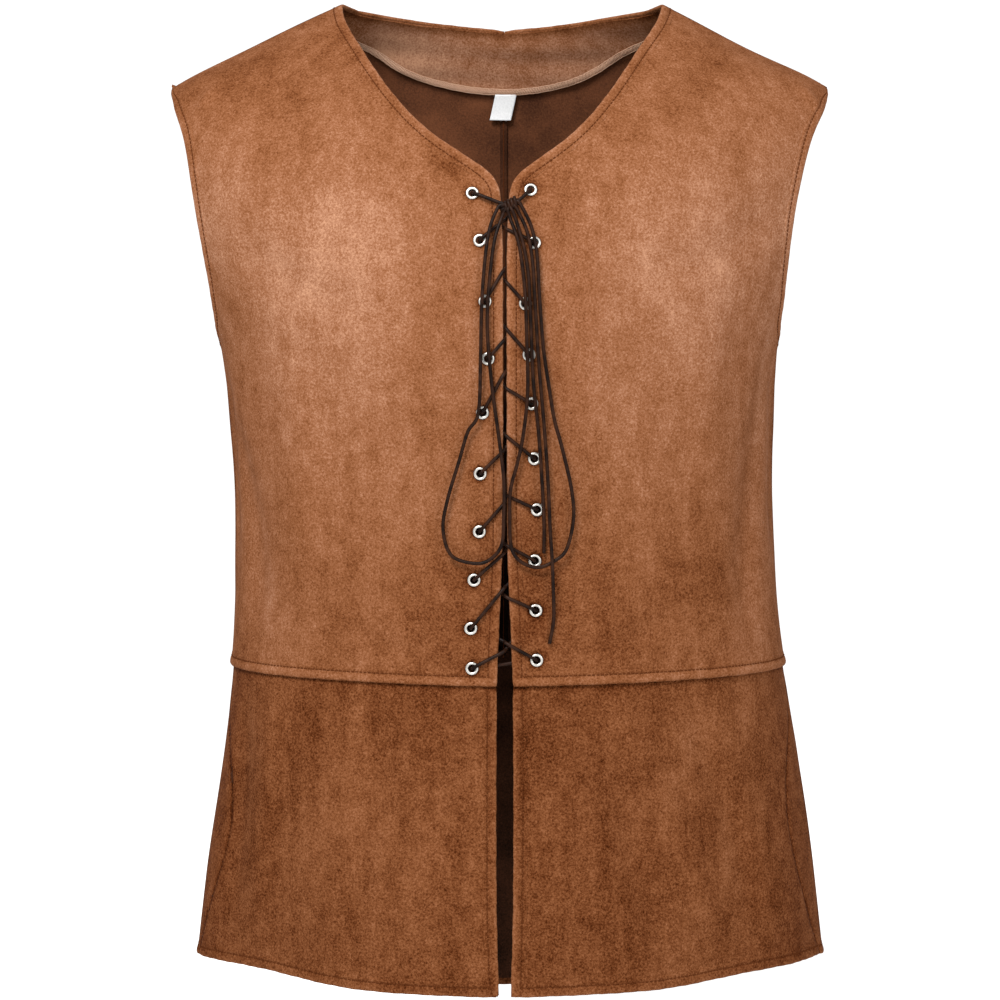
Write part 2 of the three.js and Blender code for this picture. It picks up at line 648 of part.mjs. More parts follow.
// One half of the lacing, from the lowest eyelet of a side up to the bow, changing sides at each
// level: out through an eyelet, over the front, in through the gap and behind to the next eyelet.
function laceHalf(firstSide, knotEnd) {
  const points = [];
  let name = firstSide;
  for (let level = EYELETS.left.length - 1; level >= 0; level -= 1) {
    const side = SIDES[name];
    const { x, height, dip } = EYELETS[name][level];
    points.push(clothPoint(side * x, height, UNDER_EYELET));
    points.push(clothPoint(side * x, height, OVER_EYELET));
    if (level > 0) {
      const middle = clothPoint((side * x) / 2, (height + dip) / 2, (OVER_EYELET + OVER_CLOTH) / 2);
      points.push(middle);
      points.push(clothPoint(side * DIP, dip - DIP, OVER_CLOTH));
      points.push(clothPoint(-side * DIP, dip + DIP, UNDER_CLOTH));
    }
    name = name === "left" ? "right" : "left";
  }
  points.push(clothPoint(knotEnd.x, knotEnd.height, knotEnd.lift));
  return points;
}

function lacing() {
  const toLeft = laceHalf("right", LACE_AT_KNOT.left);
  const toRight = laceHalf("left", LACE_AT_KNOT.right);
  return tube([...toLeft.reverse(), ...toRight]);
}

// A free stretch of lace lying on the fronts, smooth through the rows of its table.
function freeLace(rows, steps) {
  const points = rows.map(([x, height, lift]) => clothPoint(x, height, lift));
  return tube(new THREE.CatmullRomCurve3(points, false, "centripetal").getPoints(steps));
}

function knot() {
  const ball = new THREE.SphereGeometry(1, 12, 8);
  ball.scale(KNOT.width / 2, KNOT.depth / 2, KNOT.tall / 2);
  const spot = clothPoint(KNOT.x, KNOT.height, KNOT.lift);
  return ball.translate(spot.x, spot.y, spot.z);
}

// ---- the vest ----------------------------------------------------------------------------------

const vest = new THREE.Group();
for (const [name, side] of Object.entries(SIDES)) {
  vest.add(named(`front_${name}`, front(side, EYELETS[name]), suede));
  vest.add(named(`back_${name}`, halfWall(side, backPlace(), BACK_COLUMNS, BACK_ROWS), suede));
  const skirtFront = halfWall(side, skirtFrontPlace, FRONT_COLUMNS, SKIRT_ROWS, SKIRT_LIFT);
  vest.add(named(`skirt_front_${name}`, skirtFront, skirtSuede));
  EYELETS[name].forEach(({ x, height }, i) => {
    vest.add(named(`eyelet_${name}_${i + 1}`, eyelet(side * x, height), nickel));
  });
}
vest.add(named("skirt_back", skirtBack(), skirtSuede));
vest.add(named("back_neck_facing", facing(), suede));
vest.add(named("care_label", careLabel(), label));
vest.add(named("lacing", lacing(), laceLeather));
vest.add(named("lace_knot", knot(), laceLeather));
for (const [name, { steps, rows }] of Object.entries(FREE_LACE))
  vest.add(named(name, freeLace(rows, steps), laceLeather));
vest.position.z = -HELD_HEIGHT;

export default vest;
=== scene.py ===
import math

import bmesh
import bpy
import numpy as np
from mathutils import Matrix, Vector
from mathutils.bvhtree import BVHTree


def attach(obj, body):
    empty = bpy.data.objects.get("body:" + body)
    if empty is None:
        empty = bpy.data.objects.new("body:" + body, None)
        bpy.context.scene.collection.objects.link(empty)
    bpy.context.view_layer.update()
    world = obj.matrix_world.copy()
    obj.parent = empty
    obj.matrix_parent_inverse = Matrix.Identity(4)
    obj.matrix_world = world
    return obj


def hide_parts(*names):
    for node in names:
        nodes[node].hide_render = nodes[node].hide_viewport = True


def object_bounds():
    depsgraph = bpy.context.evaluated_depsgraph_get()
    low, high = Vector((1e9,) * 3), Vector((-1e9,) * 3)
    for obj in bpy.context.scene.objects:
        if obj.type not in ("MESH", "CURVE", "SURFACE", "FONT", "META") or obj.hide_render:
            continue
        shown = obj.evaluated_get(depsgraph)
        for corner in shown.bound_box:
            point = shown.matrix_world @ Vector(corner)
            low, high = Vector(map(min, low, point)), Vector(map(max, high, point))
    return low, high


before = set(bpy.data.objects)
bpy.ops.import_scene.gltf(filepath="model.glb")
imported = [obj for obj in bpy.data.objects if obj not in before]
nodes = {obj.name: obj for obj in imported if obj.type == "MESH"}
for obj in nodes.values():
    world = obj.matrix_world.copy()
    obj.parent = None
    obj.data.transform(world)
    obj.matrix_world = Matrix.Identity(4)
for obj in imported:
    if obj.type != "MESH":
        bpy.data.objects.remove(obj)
cad_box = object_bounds()

# ---- camera ------------------------------------------------------------------------------------
# A long lens in front of the vest, a little above its middle and tilted slightly down.
def in_scene(name, data):
    """A new object with this data, in the scene."""
    thing = bpy.data.objects.new(name, data)
    bpy.context.scene.collection.objects.link(thing)
    return thing


camera = in_scene("camera", bpy.data.cameras.new("camera"))
camera.location = (-0.00346, -2.5, -0.2537)
camera.rotation_euler = (math.radians(87.88), 0, 0)
camera.data.sensor_width = 36
camera.data.lens = 119.39
camera.data.clip_end = 50
bpy.context.scene.camera = camera

# ---- lace --------------------------------------------------------------------------------------
# One round cord of dark brown leather, 2.6 mm thick. It is crossed through the eyelets from the
# bottom up, passing in at the gap each time, and ends in a bow whose two loops and two cut tails
# lie down the fronts.
MM = 0.001
HELD_HEIGHT = 690  # the middle of the shoulder seams, where the frame's heights are zero
LACE_RADIUS = 1.3 * MM
OVER_EYELET, UNDER_EYELET = 2.6, -3.9  # how far the lace's middle is out from the cloth's face
OVER_CLOTH, UNDER_CLOTH = 1.5, -3.0
DIP = 1  # how far from the centre line the lace turns in and out of the gap
EYELETS = {  # from the top down: x, height, and where the lace that leaves it enters the gap
    "right": [
        (23.2, 567.3, 0), (17.9, 533.4, 548), (14.1, 490.1, 513), (12, 449.4, 463),
        (15.9, 411.1, 439.5), (17.6, 367.7, 385), (18.2, 326.3, 347), (22, 291.7, 311.5),
        (24.3, 257.1, 286.5), (23.5, 228.6, 241.5),
    ],
    "left": [
        (18.4, 569.7, 0), (21, 531.7, 542), (14.6, 488.4, 504.5), (17.1, 452.2, 471.5),
        (19, 417.6, 429), (21, 378.4, 395.5), (23, 342, 353), (21.4, 305.5, 317.5),
        (22.1, 270, 280.5), (22.7, 234.5, 247.5),
    ],
}
SIDES = {"left": 1, "right": -1}
KNOT = (3.1, 557.6, 4.2)  # x, height and lift of its middle
LACE_AT_KNOT = {"right": (-5.2, 559.8, 3.6), "left": (11.2, 561.6, 3.6)}
LACING_INTO_KNOT = {"right": (1.5, 557.6, 4.2), "left": (5.5, 559.4, 4.2)}
INTO_KNOT = {  # the last points of each free stretch, inside the knot: at its start and at its end
    "lace_loop_right": (
        [(3, 557.6, 4.6), (-1.2, 557, 6.2)], [(0.4, 554.6, 5.6), (2.4, 557.4, 4.6)],
    ),
    "lace_loop_left": ([(4.4, 558.6, 4.6), (8.6, 559.8, 6)], [(2.2, 554, 5.6), (3, 557.2, 4.6)]),
    "lace_tail_long": ([(4.2, 558.4, 4.6), (7, 556.4, 6)], []),
    "lace_tail_short": ([(3.2, 557.8, 4.6), (4.4, 554.6, 6.4)], []),
}
USUAL_LIFT = 5.3  # a free stretch lies on the crossings, this far out from the cloth
FREE_LACE = {  # x, height, and how far out the lace's middle is where that isn't usual
    "lace_loop_right": [
        (-5.4, 554.4, 6), (-12, 534.5, 5.4), (-16, 491.8), (-17, 449), (-18.5, 411.4), (-26, 397.9),
        (-31.7, 378), (-40.2, 349.5), (-43.1, 328.1), (-37.4, 309.6), (-21, 303.9), (-10, 307),
        (-2, 318), (-0.8, 340), (-0.8, 363.7), (-4, 392.2), (-9.5, 435), (-12.4, 478),
        (-8.2, 527.4), (-1.8, 550, 4.4),
    ],
    "lace_loop_left": [
        (11.8, 556.4, 6), (18.5, 542, 5.4), (22.4, 523), (24.2, 491.8), (27, 456), (31, 427.8),
        (34.6, 406.4), (40.4, 385.1), (46.5, 356.6), (47.9, 335.2), (42.9, 313.9), (34.4, 305.4),
        (23, 301.1), (10.9, 305.4), (4.4, 316), (3.4, 337), (4, 357), (8.8, 376), (13, 397),
        (16, 427.8), (15.2, 467), (14, 497), (10, 529), (3.4, 549, 4.6),
    ],
    "lace_tail_long": [
        (10, 551.6, 5.2), (16, 537), (19.4, 517), (20.9, 491.8), (23.6, 447), (27.5, 399.3),
        (30, 363.7), (31.6, 327, 6.2), (32.8, 305, 8.3), (33.7, 287, 6), (34.4, 264, 3.2),
        (31.6, 246.3, 1.9),
    ],
    "lace_tail_short": [
        (6.8, 549.4, 6.2), (13, 529), (16.4, 509), (17.6, 487), (19.8, 434), (23.4, 399), (26, 363),
        (27.4, 335, 4), (27.6, 311, 2),
    ],
}
FRONTS = ["front_left", "front_right"]
BACKS = ["back_left", "back_right"]
SKIRTS = ["skirt_front_left", "skirt_front_right", "skirt_back"]


def tree_of(*meshes):
    """These meshes as one tree for ray casts and nearest points."""
    joined = bmesh.new()
    for mesh in meshes:
        joined.from_mesh(mesh)
    tree = BVHTree.FromBMesh(joined)
    joined.free()
    return tree


front_cloth = tree_of(*(nodes[name].data for name in FRONTS))
IN_FRONT = -0.4  # where the rays towards the fronts start, m
ASIDE = (0, 4, 8, 12)  # how far aside a ray is tried where the cloth has a gap, mm


def on_front(x, height, lift=0):
    """A point on the fronts' outer face, or where it would run over the gap, moved out by lift."""
    spot = Vector((x * MM, IN_FRONT, (height - HELD_HEIGHT) * MM))
    for aside in ASIDE:
        for turn in range(8):
            angle = turn * math.pi / 4
            start = spot + Vector((math.cos(angle), 0, math.sin(angle))) * aside * MM
            hit, normal, _, _ = front_cloth.ray_cast(start, Vector((0, 1, 0)))
            if hit and normal.y < -0.3:
                rise = (normal.x * (spot.x - hit.x) + normal.z * (spot.z - hit.z)) / normal.y
                return Vector((spot.x, hit.y - rise, spot.z)) + normal * lift * MM
    raise ValueError(f"no cloth near x {x}, height {height}")


def lace_half(first_side, knot_end):
    """From the lowest eyelet of a side up to the bow, changing sides at each level."""
    route, side = [], first_side
    for level in range(len(EYELETS["left"]) - 1, -1, -1):
        sign = SIDES[side]
        x, height, dip = EYELETS[side][level]
        route.append(on_front(sign * x, height, UNDER_EYELET))
        route.append(on_front(sign * x, height, OVER_EYELET))
        if level > 0:
            route.append(on_front(sign * x / 2, (height + dip) / 2, (OVER_EYELET + OVER_CLOTH) / 2))
            route.append(on_front(sign * DIP, dip - DIP, OVER_CLOTH))
            route.append(on_front(-sign * DIP, dip + DIP, UNDER_CLOTH))
        side = "right" if side == "left" else "left"
    return route + [on_front(*LACE_AT_KNOT[knot_end]), on_front(*LACING_INTO_KNOT[knot_end])]


def rounded(route, rounds=3):
    """The route with its corners cut again and again, so that it bends instead of breaking."""
    for _ in range(rounds):
        cut = [route[0]]
        for a, b in zip(route[:-1], route[1:]):
            cut += [a.lerp(b, 0.25), a.lerp(b, 0.75)]
        route = cut + [route[-1]]
    return route


def flowing(route, steps=8):
    """A smooth curve through every point of the route."""
    points = [2 * route[0] - route[1], *route, 2 * route[-1] - route[-2]]
    line = []
    for p0, p1, p2, p3 in zip(points, points[1:], points[2:], points[3:]):
        for step in range(steps):
            t = step / steps
            line.append(
                0.5 * (2 * p1 + (p2 - p0) * t + (2 * p0 - 5 * p1 + 4 * p2 - p3) * t**2
                       + (3 * p1 - p0 - 3 * p2 + p3) * t**3)
            )
    return line + [route[-1]]


def linear(code):
    """An sRGB hex colour as linear RGBA."""
    parts = [int(code[i : i + 2], 16) / 255 for i in (1, 3, 5)]
    return [c / 12.92 if c <= 0.04045 else ((c + 0.055) / 1.055) ** 2.4 for c in parts] + [1.0]


def feed(tree, node, **sockets):
    """Links the sockets that are given as outputs, and sets the others."""
    for name, value in sockets.items():
        socket = node.inputs[int(name[1:]) if name[1:].isdigit() else name.replace("_", " ")]
        if isinstance(value, bpy.types.NodeSocket):
            tree.links.new(value, socket)
        else:
            socket.default_value = value


def add(tree, kind, settings=None, **sockets):
    """Adds a node with its settings, and links or sets its sockets."""
    node = tree.nodes.new(kind)
    for name, value in (settings or {}).items():
        setattr(node, name, value)
    feed(tree, node, **sockets)
    return node


def finish(name, **sockets):
    """A new material with its Principled shader, ready for nodes."""
    material = bpy.data.materials.new(name)
    material.use_nodes = True
    tree = material.node_tree
    shader = tree.nodes["Principled BSDF"]
    feed(tree, shader, **sockets)
    return material, tree, shader


def dyed(ramp, *codes):
    """A ramp's colour output, after it gets these sRGB colours, evenly spaced."""
    stops = ramp.color_ramp.elements
    for number in range(1, len(codes) - 1):
        stops.new(number / (len(codes) - 1))
    for stop, code in zip(stops, codes):
        stop.color = linear(code)
    return ramp.outputs["Color"]


# Waxed leather cord: a dark brown skin with a dull shine on its rounded sides, and a fine grain
# that is a little paler where the bends have opened it.
lace_leather, tree, shader = finish("waxed_leather_cord", Roughness=0.42, Specular_IOR_Level=0.06)
place = add(tree, "ShaderNodeTexCoord").outputs["Object"]
grain = add(tree, "ShaderNodeTexNoise", Vector=place, Scale=900.0, Detail=3.0)
patches = add(tree, "ShaderNodeTexNoise", Vector=place, Scale=120.0, Detail=2.0)
ramp = add(tree, "ShaderNodeValToRGB", Fac=patches.outputs["Fac"])
ramp.color_ramp.elements[0].position = 0.35
ramp.color_ramp.elements[1].position = 0.75
bump = add(tree, "ShaderNodeBump", Height=grain.outputs["Fac"], Strength=0.35, Distance=0.0004)
feed(tree, shader, Base_Color=dyed(ramp, "#0b0402", "#28150b"), Normal=bump.outputs["Normal"])


def lace_curve(name, line):
    """A stretch of lace as a round curve, standing for its frame node."""
    curve = bpy.data.curves.new(name, "CURVE")
    curve.dimensions = "3D"
    curve.bevel_depth = LACE_RADIUS
    curve.bevel_resolution = 3
    curve.use_fill_caps = True
    spline = curve.splines.new("POLY")
    spline.points.add(len(line) - 1)
    for point, spot in zip(spline.points, line):
        point.co = (*spot, 1)
    curve.materials.append(lace_leather)
    piece = in_scene(name + "_cord", curve)
    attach(piece, "root")
    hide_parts(name)
    return piece


to_left = lace_half("right", "left")
to_right = lace_half("left", "right")
lacing_line = rounded(to_left[::-1] + to_right)
lacing = lace_curve("lacing", lacing_line)
free_lines = {}
for name, rows in FREE_LACE.items():
    first, last = INTO_KNOT[name]
    rows = [row if len(row) == 3 else (*row, USUAL_LIFT) for row in rows]
    free_lines[name] = flowing([on_front(*row) for row in first + rows + last])
free_pieces = {name: lace_curve(name, line) for name, line in free_lines.items()}

# The knot of the bow is the same cord: three strands that lie on a slant, and the turns that are
# wound tightly round them, side by side.
KNOT_TURNS = [-2.7, -0.2, 2.3, 4.8]  # places of the turns along the slant, mm
KNOT_STRANDS = [(-1.3, 0.2), (1.3, 0.2), (0, 1.1)]  # across the slant and out, mm
KNOT_LONG = 7.4  # half length of the strands, mm
KNOT_BOW = 0.9  # how far the strands droop at their ends, mm
KNOT_SLANT = math.radians(29)
KNOT_WIDE, KNOT_DEEP = 3.0 * MM, 2.3 * MM  # half sizes of one turn's centre line
KNOT_TWIST = 0.9 * MM  # how far a turn runs on along the strands
ROUND_STEPS = 20
CORD_SIDES = 10
knot_middle = on_front(*KNOT)
slant = Vector((math.cos(KNOT_SLANT), 0, math.sin(KNOT_SLANT)))
upright = Vector((-math.sin(KNOT_SLANT), 0, math.cos(KNOT_SLANT)))
toward = Vector((0, -1, 0))


def tube(count, sides):
    """The faces of a tube over this many rings of points, with a cap at each end."""
    last = (count - 1) * sides
    quads = [
        (i + j, i + (j + 1) % sides, i + (j + 1) % sides + sides, i + j + sides)
        for i in range(0, last, sides)
        for j in range(sides)
    ]
    return quads + [tuple(range(sides - 1, -1, -1)), tuple(range(last, last + sides))]


def knot_strand(line):
    """A round cord along a line as vertices and faces, its ends a little rounded."""
    points = []
    for i, spot in enumerate(line):
        along = (line[min(i + 1, len(line) - 1)] - line[max(i - 1, 0)]).normalized()
        side = along.cross(toward).normalized()
        up = side.cross(along)
        size = LACE_RADIUS * (0.7 if i in (0, len(line) - 1) else 1)
        for j in range(CORD_SIDES):
            turn = 2 * math.pi * j / CORD_SIDES
            points.append(spot + (side * math.cos(turn) + up * math.sin(turn)) * size)
    return points, tube(len(line), CORD_SIDES)


def knot_turn(middle):
    """A closed oval of cord round the strands, as vertices and quads."""
    points, faces = [], []
    step = CORD_SIDES * ROUND_STEPS
    for i in range(ROUND_STEPS):
        angle = 2 * math.pi * i / ROUND_STEPS
        radial = upright * math.cos(angle) * KNOT_WIDE + toward * math.sin(angle) * KNOT_DEEP
        spot = middle + radial + slant * KNOT_TWIST * math.cos(angle)
        side = radial.normalized()
        for j in range(CORD_SIDES):
            turn = 2 * math.pi * j / CORD_SIDES
            points.append(spot + (side * math.cos(turn) + slant * math.sin(turn)) * LACE_RADIUS)
            a, b = i * CORD_SIDES + j, i * CORD_SIDES + (j + 1) % CORD_SIDES
            faces.append((a, b, (b + CORD_SIDES) % step, (a + CORD_SIDES) % step))
    return points, faces


def gather(parts):
    """Several sets of vertices and faces as one."""
    points, faces = [], []
    for more_points, more_faces in parts:
        faces += [tuple(i + len(points) for i in face) for face in more_faces]
        points += list(more_points)
    return points, faces


def mesh_piece(name, points, faces, materials):
    mesh = bpy.data.meshes.new(name)
    mesh.from_pydata([tuple(p) for p in points], [], faces)
    mesh.update()
    for material in materials:
        mesh.materials.append(material)
    return in_scene(name, mesh)


def tidy_normals(piece):
    """Merges doubles and turns every closed shell's faces outwards."""
    work = bmesh.new()
    work.from_mesh(piece.data)
    bmesh.ops.remove_doubles(work, verts=work.verts, dist=0.002 * MM)
    bmesh.ops.recalc_face_normals(work, faces=work.faces)
    for face in work.faces:
        face.smooth = True
    work.to_mesh(piece.data)
    work.free()


cords = [knot_turn(knot_middle + slant * offset * MM) for offset in KNOT_TURNS]
for across, out in KNOT_STRANDS:
    line = []
    for step in range(-6, 7):
        share = step / 6
        droop = upright * (across - KNOT_BOW * share * share) + toward * out
        line.append(knot_middle + (slant * share * KNOT_LONG + droop) * MM)
    cords.append(knot_strand(line))
knot = mesh_piece("lace_knot_turns", *gather(cords), [lace_leather])
tidy_normals(knot)
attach(knot, "root")
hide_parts("lace_knot")

# ---- floor and light ---------------------------------------------------------------------------
# A plain pale floor well below the hem, and soft light from large areas in front and above.
FLOOR_DROP = 0.10
bpy.ops.object.select_all(action="DESELECT")
bpy.ops.mesh.primitive_plane_add(size=30, location=(0, 0, cad_box[0][2] - FLOOR_DROP))
floor = bpy.context.active_object
floor.name = "floor"
paper, _, _ = finish("white_backdrop_paper", Roughness=0.95, Base_Color=linear("#fbfbfb"))
floor.data.materials.append(paper)

world = bpy.data.worlds.new("studio")
world.use_nodes = True
world.node_tree.nodes["Background"].inputs["Color"].default_value = (1, 1, 1, 1)
world.node_tree.nodes["Background"].inputs["Strength"].default_value = 1.12
bpy.context.scene.world = world
bpy.context.scene.view_settings.view_transform = "Standard"


def soft_light(name, spot, target, size, power):
    lamp = bpy.data.lights.new(name, "AREA")
    lamp.shape = "DISK"
    lamp.size = size
    lamp.energy = power
    light = in_scene(name, lamp)
    light.location = spot
    light.rotation_euler = (Vector(target) - Vector(spot)).to_track_quat("-Z", "Y").to_euler()


soft_light("key", (-0.7, -1.9, 1.5), (0, 0, -0.25), 0.9, 118)
soft_light("fill", (1.7, -2.3, 0.5), (0, 0, -0.3), 1.4, 32)

# ---- fronts, backs and skirt -------------------------------------------------------------------
# Faux suede: a brushed knit with a soft brown nap on a darker backing, 1.5 mm thick. Two fronts and
# two backs meet at the sides and shoulders and lap over a skirt of three panels at the waist. Their
# free edges are turned in and topstitched.
CLOTH = 1.5 * MM
PANEL_LEVELS = 3  # how often a panel's sheet is subdivided
ALL_PANELS = FRONTS + BACKS + SKIRTS
panel_trees = {name: tree_of(nodes[name].data) for name in ALL_PANELS}
whole_cloth = tree_of(*(nodes[name].data for name in ALL_PANELS))
RIM_ANGLE = math.radians(50)  # a wall's rim stands at more than this to its faces
CORNER_ANGLE = math.radians(32)  # an outline that turns more than this stays sharp
WALL_REACH = 2.4 * MM  # a wall's two faces are nearer to each other than this
SLIT_WIDE = 3.2 * MM  # a slit in an outline is narrower than this
SLIT_STEPS = 4  # and this many edges long from one side of its mouth to the other


def open_loops(work):
    """Every ring of boundary vertices, in order."""
    rings, seen = [], set()
    for first in work.edges:
        if not first.is_boundary or first in seen:
            continue
        ring, vertex, edge = [], first.verts[0], first
        while edge is not None:
            seen.add(edge)
            ring.append(vertex)
            vertex = edge.other_vert(vertex)
            edge = next((e for e in vertex.link_edges if e.is_boundary and e not in seen), None)
        rings.append(ring)
    return rings


def close_slits(sheet):
    """Fills narrow slits that run in from a sheet's outline; gives the vertices inside them."""
    inner = set()
    while True:
        ring = max(open_loops(sheet), key=len)
        for first in range(len(ring)):
            run = ring[first : first + SLIT_STEPS + 1]
            gap = (run[-1].co - run[0].co).length
            way = sum((b.co - a.co).length for a, b in zip(run[:-1], run[1:]))
            if len(run) > SLIT_STEPS and gap < SLIT_WIDE and way > 6 * SLIT_WIDE:
                break
        else:
            return inner
        if sheet.edges.get(run[:2]).link_loops[0].vert is run[0]:
            run.reverse()
        sheet.faces.new(run)
        inner.update(run[1:-1])
        bmesh.ops.weld_verts(sheet, targetmap={run[-1]: run[0]})


def outer_sheet(name, facing_in=False):
    """One face of a panel's wall as an open sheet of quads: the outer one, or the wearer's side."""
    sheet = bmesh.new()
    sheet.from_mesh(nodes[name].data)
    bmesh.ops.remove_doubles(sheet, verts=sheet.verts, dist=0.01 * MM)
    sheet.normal_update()
    wall = BVHTree.FromBMesh(sheet)
    wanted = set()
    for face in sheet.faces:
        middle = face.calc_center_median()
        inside = Vector((middle.x / 2, 0, middle.z - 50 * MM))
        outward = face.normal.dot(middle - inside) > 0
        start = middle - face.normal * 0.05 * MM
        through = wall.ray_cast(start, -face.normal, WALL_REACH)[0]
        if through is not None and outward != facing_in:
            wanted.add(face)
    spreading = [face for face in sheet.faces if face in wanted]
    while spreading:
        face = spreading.pop()
        for other in (f for edge in face.edges for f in edge.link_faces if f not in wanted):
            shared = sum(any(f in wanted for f in edge.link_faces) for edge in other.edges)
            if shared > 1 and other.normal.angle(face.normal, 9) < RIM_ANGLE:
                wanted.add(other)
                spreading.append(other)
    bmesh.ops.delete(sheet, geom=[f for f in sheet.faces if f not in wanted], context="FACES")
    inner = close_slits(sheet)
    loops = open_loops(sheet)
    loops.remove(max(loops, key=len))
    rims = inner | {vertex for loop in loops for vertex in loop}
    rim_edges = [e for e in sheet.edges if e.is_boundary and rims.issuperset(e.verts)]
    bmesh.ops.holes_fill(sheet, edges=rim_edges, sides=0)
    # in the mesh's own order, because a set's order changes from run to run
    closed = [v for v in sheet.verts if v in rims and not v.is_boundary]
    bmesh.ops.dissolve_verts(sheet, verts=closed)
    bmesh.ops.triangulate(sheet, faces=[f for f in sheet.faces if len(f.verts) > 3])
    bmesh.ops.join_triangles(
        sheet, faces=sheet.faces, angle_face_threshold=0.5, angle_shape_threshold=0.9
    )
    pinned = sheet.verts.layers.float.new("crease_vert")
    outline = max(open_loops(sheet), key=len)
    befores, afters = outline[-1:] + outline[:-1], outline[1:] + outline[:1]
    for before, vertex, after in zip(befores, outline, afters):
        turn = (vertex.co - before.co).angle(after.co - vertex.co, 0)
        vertex[pinned] = 1.0 if turn > CORNER_ANGLE else 0.0
    return sheet


def apply_modifiers(piece):
    bpy.ops.object.select_all(action="DESELECT")
    bpy.context.view_layer.objects.active = piece
    piece.select_set(True)
    for modifier in list(piece.modifiers):
        bpy.ops.object.modifier_apply(modifier=modifier.name)


def rows_of(items, key):
    """A vector of each item as the rows of an array."""
    flat = np.empty(len(items) * 3)
    items.foreach_get(key, flat)
    return flat.reshape(-1, 3)


def coordinates(mesh):
    return rows_of(mesh.vertices, "co")


def normals(mesh):
    return rows_of(mesh.vertex_normals, "vector")


def move_to(mesh, points):
    """Moves the mesh's vertices to these points."""
    mesh.vertices.foreach_set("co", points.ravel())
    mesh.update()


def off_path(points, path):
    """How far each point lies from a path, and how far along the path, from 0 to 1."""
    near = np.full(len(points), 9.0)
    along = np.zeros(len(points))
    for i, (a, b) in enumerate(zip(path[:-1], path[1:])):
        span = b - a
        share = np.clip((points - a) @ span / (span @ span), 0, 1)
        gap = np.linalg.norm(points - a - share[:, None] * span, axis=1)
        nearer = gap < near
        near[nearer] = gap[nearer]
        along[nearer] = (i + share[nearer]) / (len(path) - 1)
    return near, along


def on_cloth(face, across, height):
    """A point on the outside, seen from one face: front, back, left or right."""
    away = {"front": (0, -1, 0), "back": (0, 1, 0), "left": (1, 0, 0), "right": (-1, 0, 0)}[face]
    across, height = across * MM, (height - HELD_HEIGHT) * MM
    spot = (across, 0, height) if away[0] == 0 else (0, across, height)
    hit = whole_cloth.ray_cast(Vector(spot) + 0.5 * Vector(away), -Vector(away))[0]
    return np.array(hit if hit else Vector(spot) + 0.15 * Vector(away))


# The creases and soft swells of the worn cloth, by the face they are seen from: the path there as
# (across, height), the half width, and the depth out (+) or in (-), all in mm.
CREASES = {
    "front": [
        ([(-55, 600), (-42, 587), (-29, 573)], 6.5, -2.6),
        ([(-68, 588), (-55, 574), (-42, 559)], 8.5, 1.8),
        ([(-226, 633), (-221, 642), (-216, 650)], 5, 2.3),
        ([(232, 632), (226, 643), (220, 652)], 5, 2.3),
        ([(-205, 420), (-186, 330), (-181, 250)], 16, -4.6),
        ([(-160, 470), (-150, 380), (-152, 290)], 22, 2.9),
        ([(200, 470), (184, 380), (176, 300), (180, 240)], 16, -4.3),
        ([(150, 500), (146, 420), (152, 330)], 22, 2.6),
        ([(-200, 540), (-150, 500), (-90, 480)], 18, -2.3),
        ([(205, 560), (150, 520), (95, 505)], 18, -2.3),
        ([(-110, 250), (-60, 236), (-10, 226)], 9, -1.2),
        ([(120, 262), (70, 240), (20, 228)], 9, -1.2),
        ([(-190, 205), (-196, 120), (-205, 30)], 11, -3.8),
        ([(-168, 205), (-176, 120), (-184, 20)], 12, 2.6),
        ([(40, 205), (90, 110), (118, 10)], 13, -2.9),
        ([(80, 200), (128, 110), (158, 20)], 13, 2.9),
        ([(128, 205), (165, 120), (186, 30)], 12, -3.2),
        ([(-40, 205), (-52, 110), (-62, 10)], 15, 2.0),
        ([(-84, 205), (-98, 110), (-112, 20)], 15, -2.3),
    ],
    "back": [
        ([(-70, 640), (-30, 560), (-20, 470)], 20, -3.5),
        ([(80, 640), (42, 550), (34, 450)], 20, -3.2),
        ([(-195, 520), (-150, 470), (-110, 450)], 18, -3.2),
        ([(200, 530), (150, 480), (104, 458)], 18, -2.9),
        ([(-180, 420), (-160, 320), (-165, 240)], 16, -4.1),
        ([(182, 430), (158, 330), (162, 236)], 16, -3.8),
        ([(-60, 320), (0, 300), (66, 316)], 14, -2.9), ([(-80, 280), (0, 262), (84, 284)], 13, 2.3),
        ([(-150, 205), (-164, 110), (-172, 0)], 14, -3.5),
        ([(146, 205), (164, 110), (176, 10)], 14, -3.5),
        ([(-60, 205), (-66, 100), (-74, -20)], 16, 2.9),
        ([(64, 205), (72, 100), (82, -20)], 16, 3.2),
    ],
    "left": [
        ([(-30, 460), (-18, 380), (-24, 300)], 13, -2.9),
        ([(10, 440), (22, 350), (14, 260)], 14, 2.3),
    ],
    "right": [
        ([(-24, 455), (-12, 370), (-20, 290)], 13, -2.9),
        ([(14, 440), (24, 350), (12, 260)], 14, 2.3),
    ],
}
crease_paths = [
    (np.array([on_cloth(face, *row) for row in rows]), width * MM, depth * MM)
    for face, creases in CREASES.items()
    for rows, width, depth in creases
]
SHARP_CREASE = 9 * MM  # half width of the creases that the lacing doesn't smooth
SWELL_WAVES = [  # slow unevenness all over: waves in 4 m across, round and up; mm high; phase
    ((21, 9, 6), 0.7, 0.4), ((-13, 17, 11), 0.7, 2.1), ((8, -23, 19), 0.5, 4.0),
    ((33, 14, -9), 0.35, 1.2),
]
LACED, EASED = 0.04, 0.05  # half width of the taut cloth at the lacing, and where it eases off, m
TAUT_SHARE = 0.1  # of the unevenness, left in the taut cloth
SEAM_SINK, SEAM_WIDE = 0.7 * MM, 2.2 * MM  # the groove along a seam


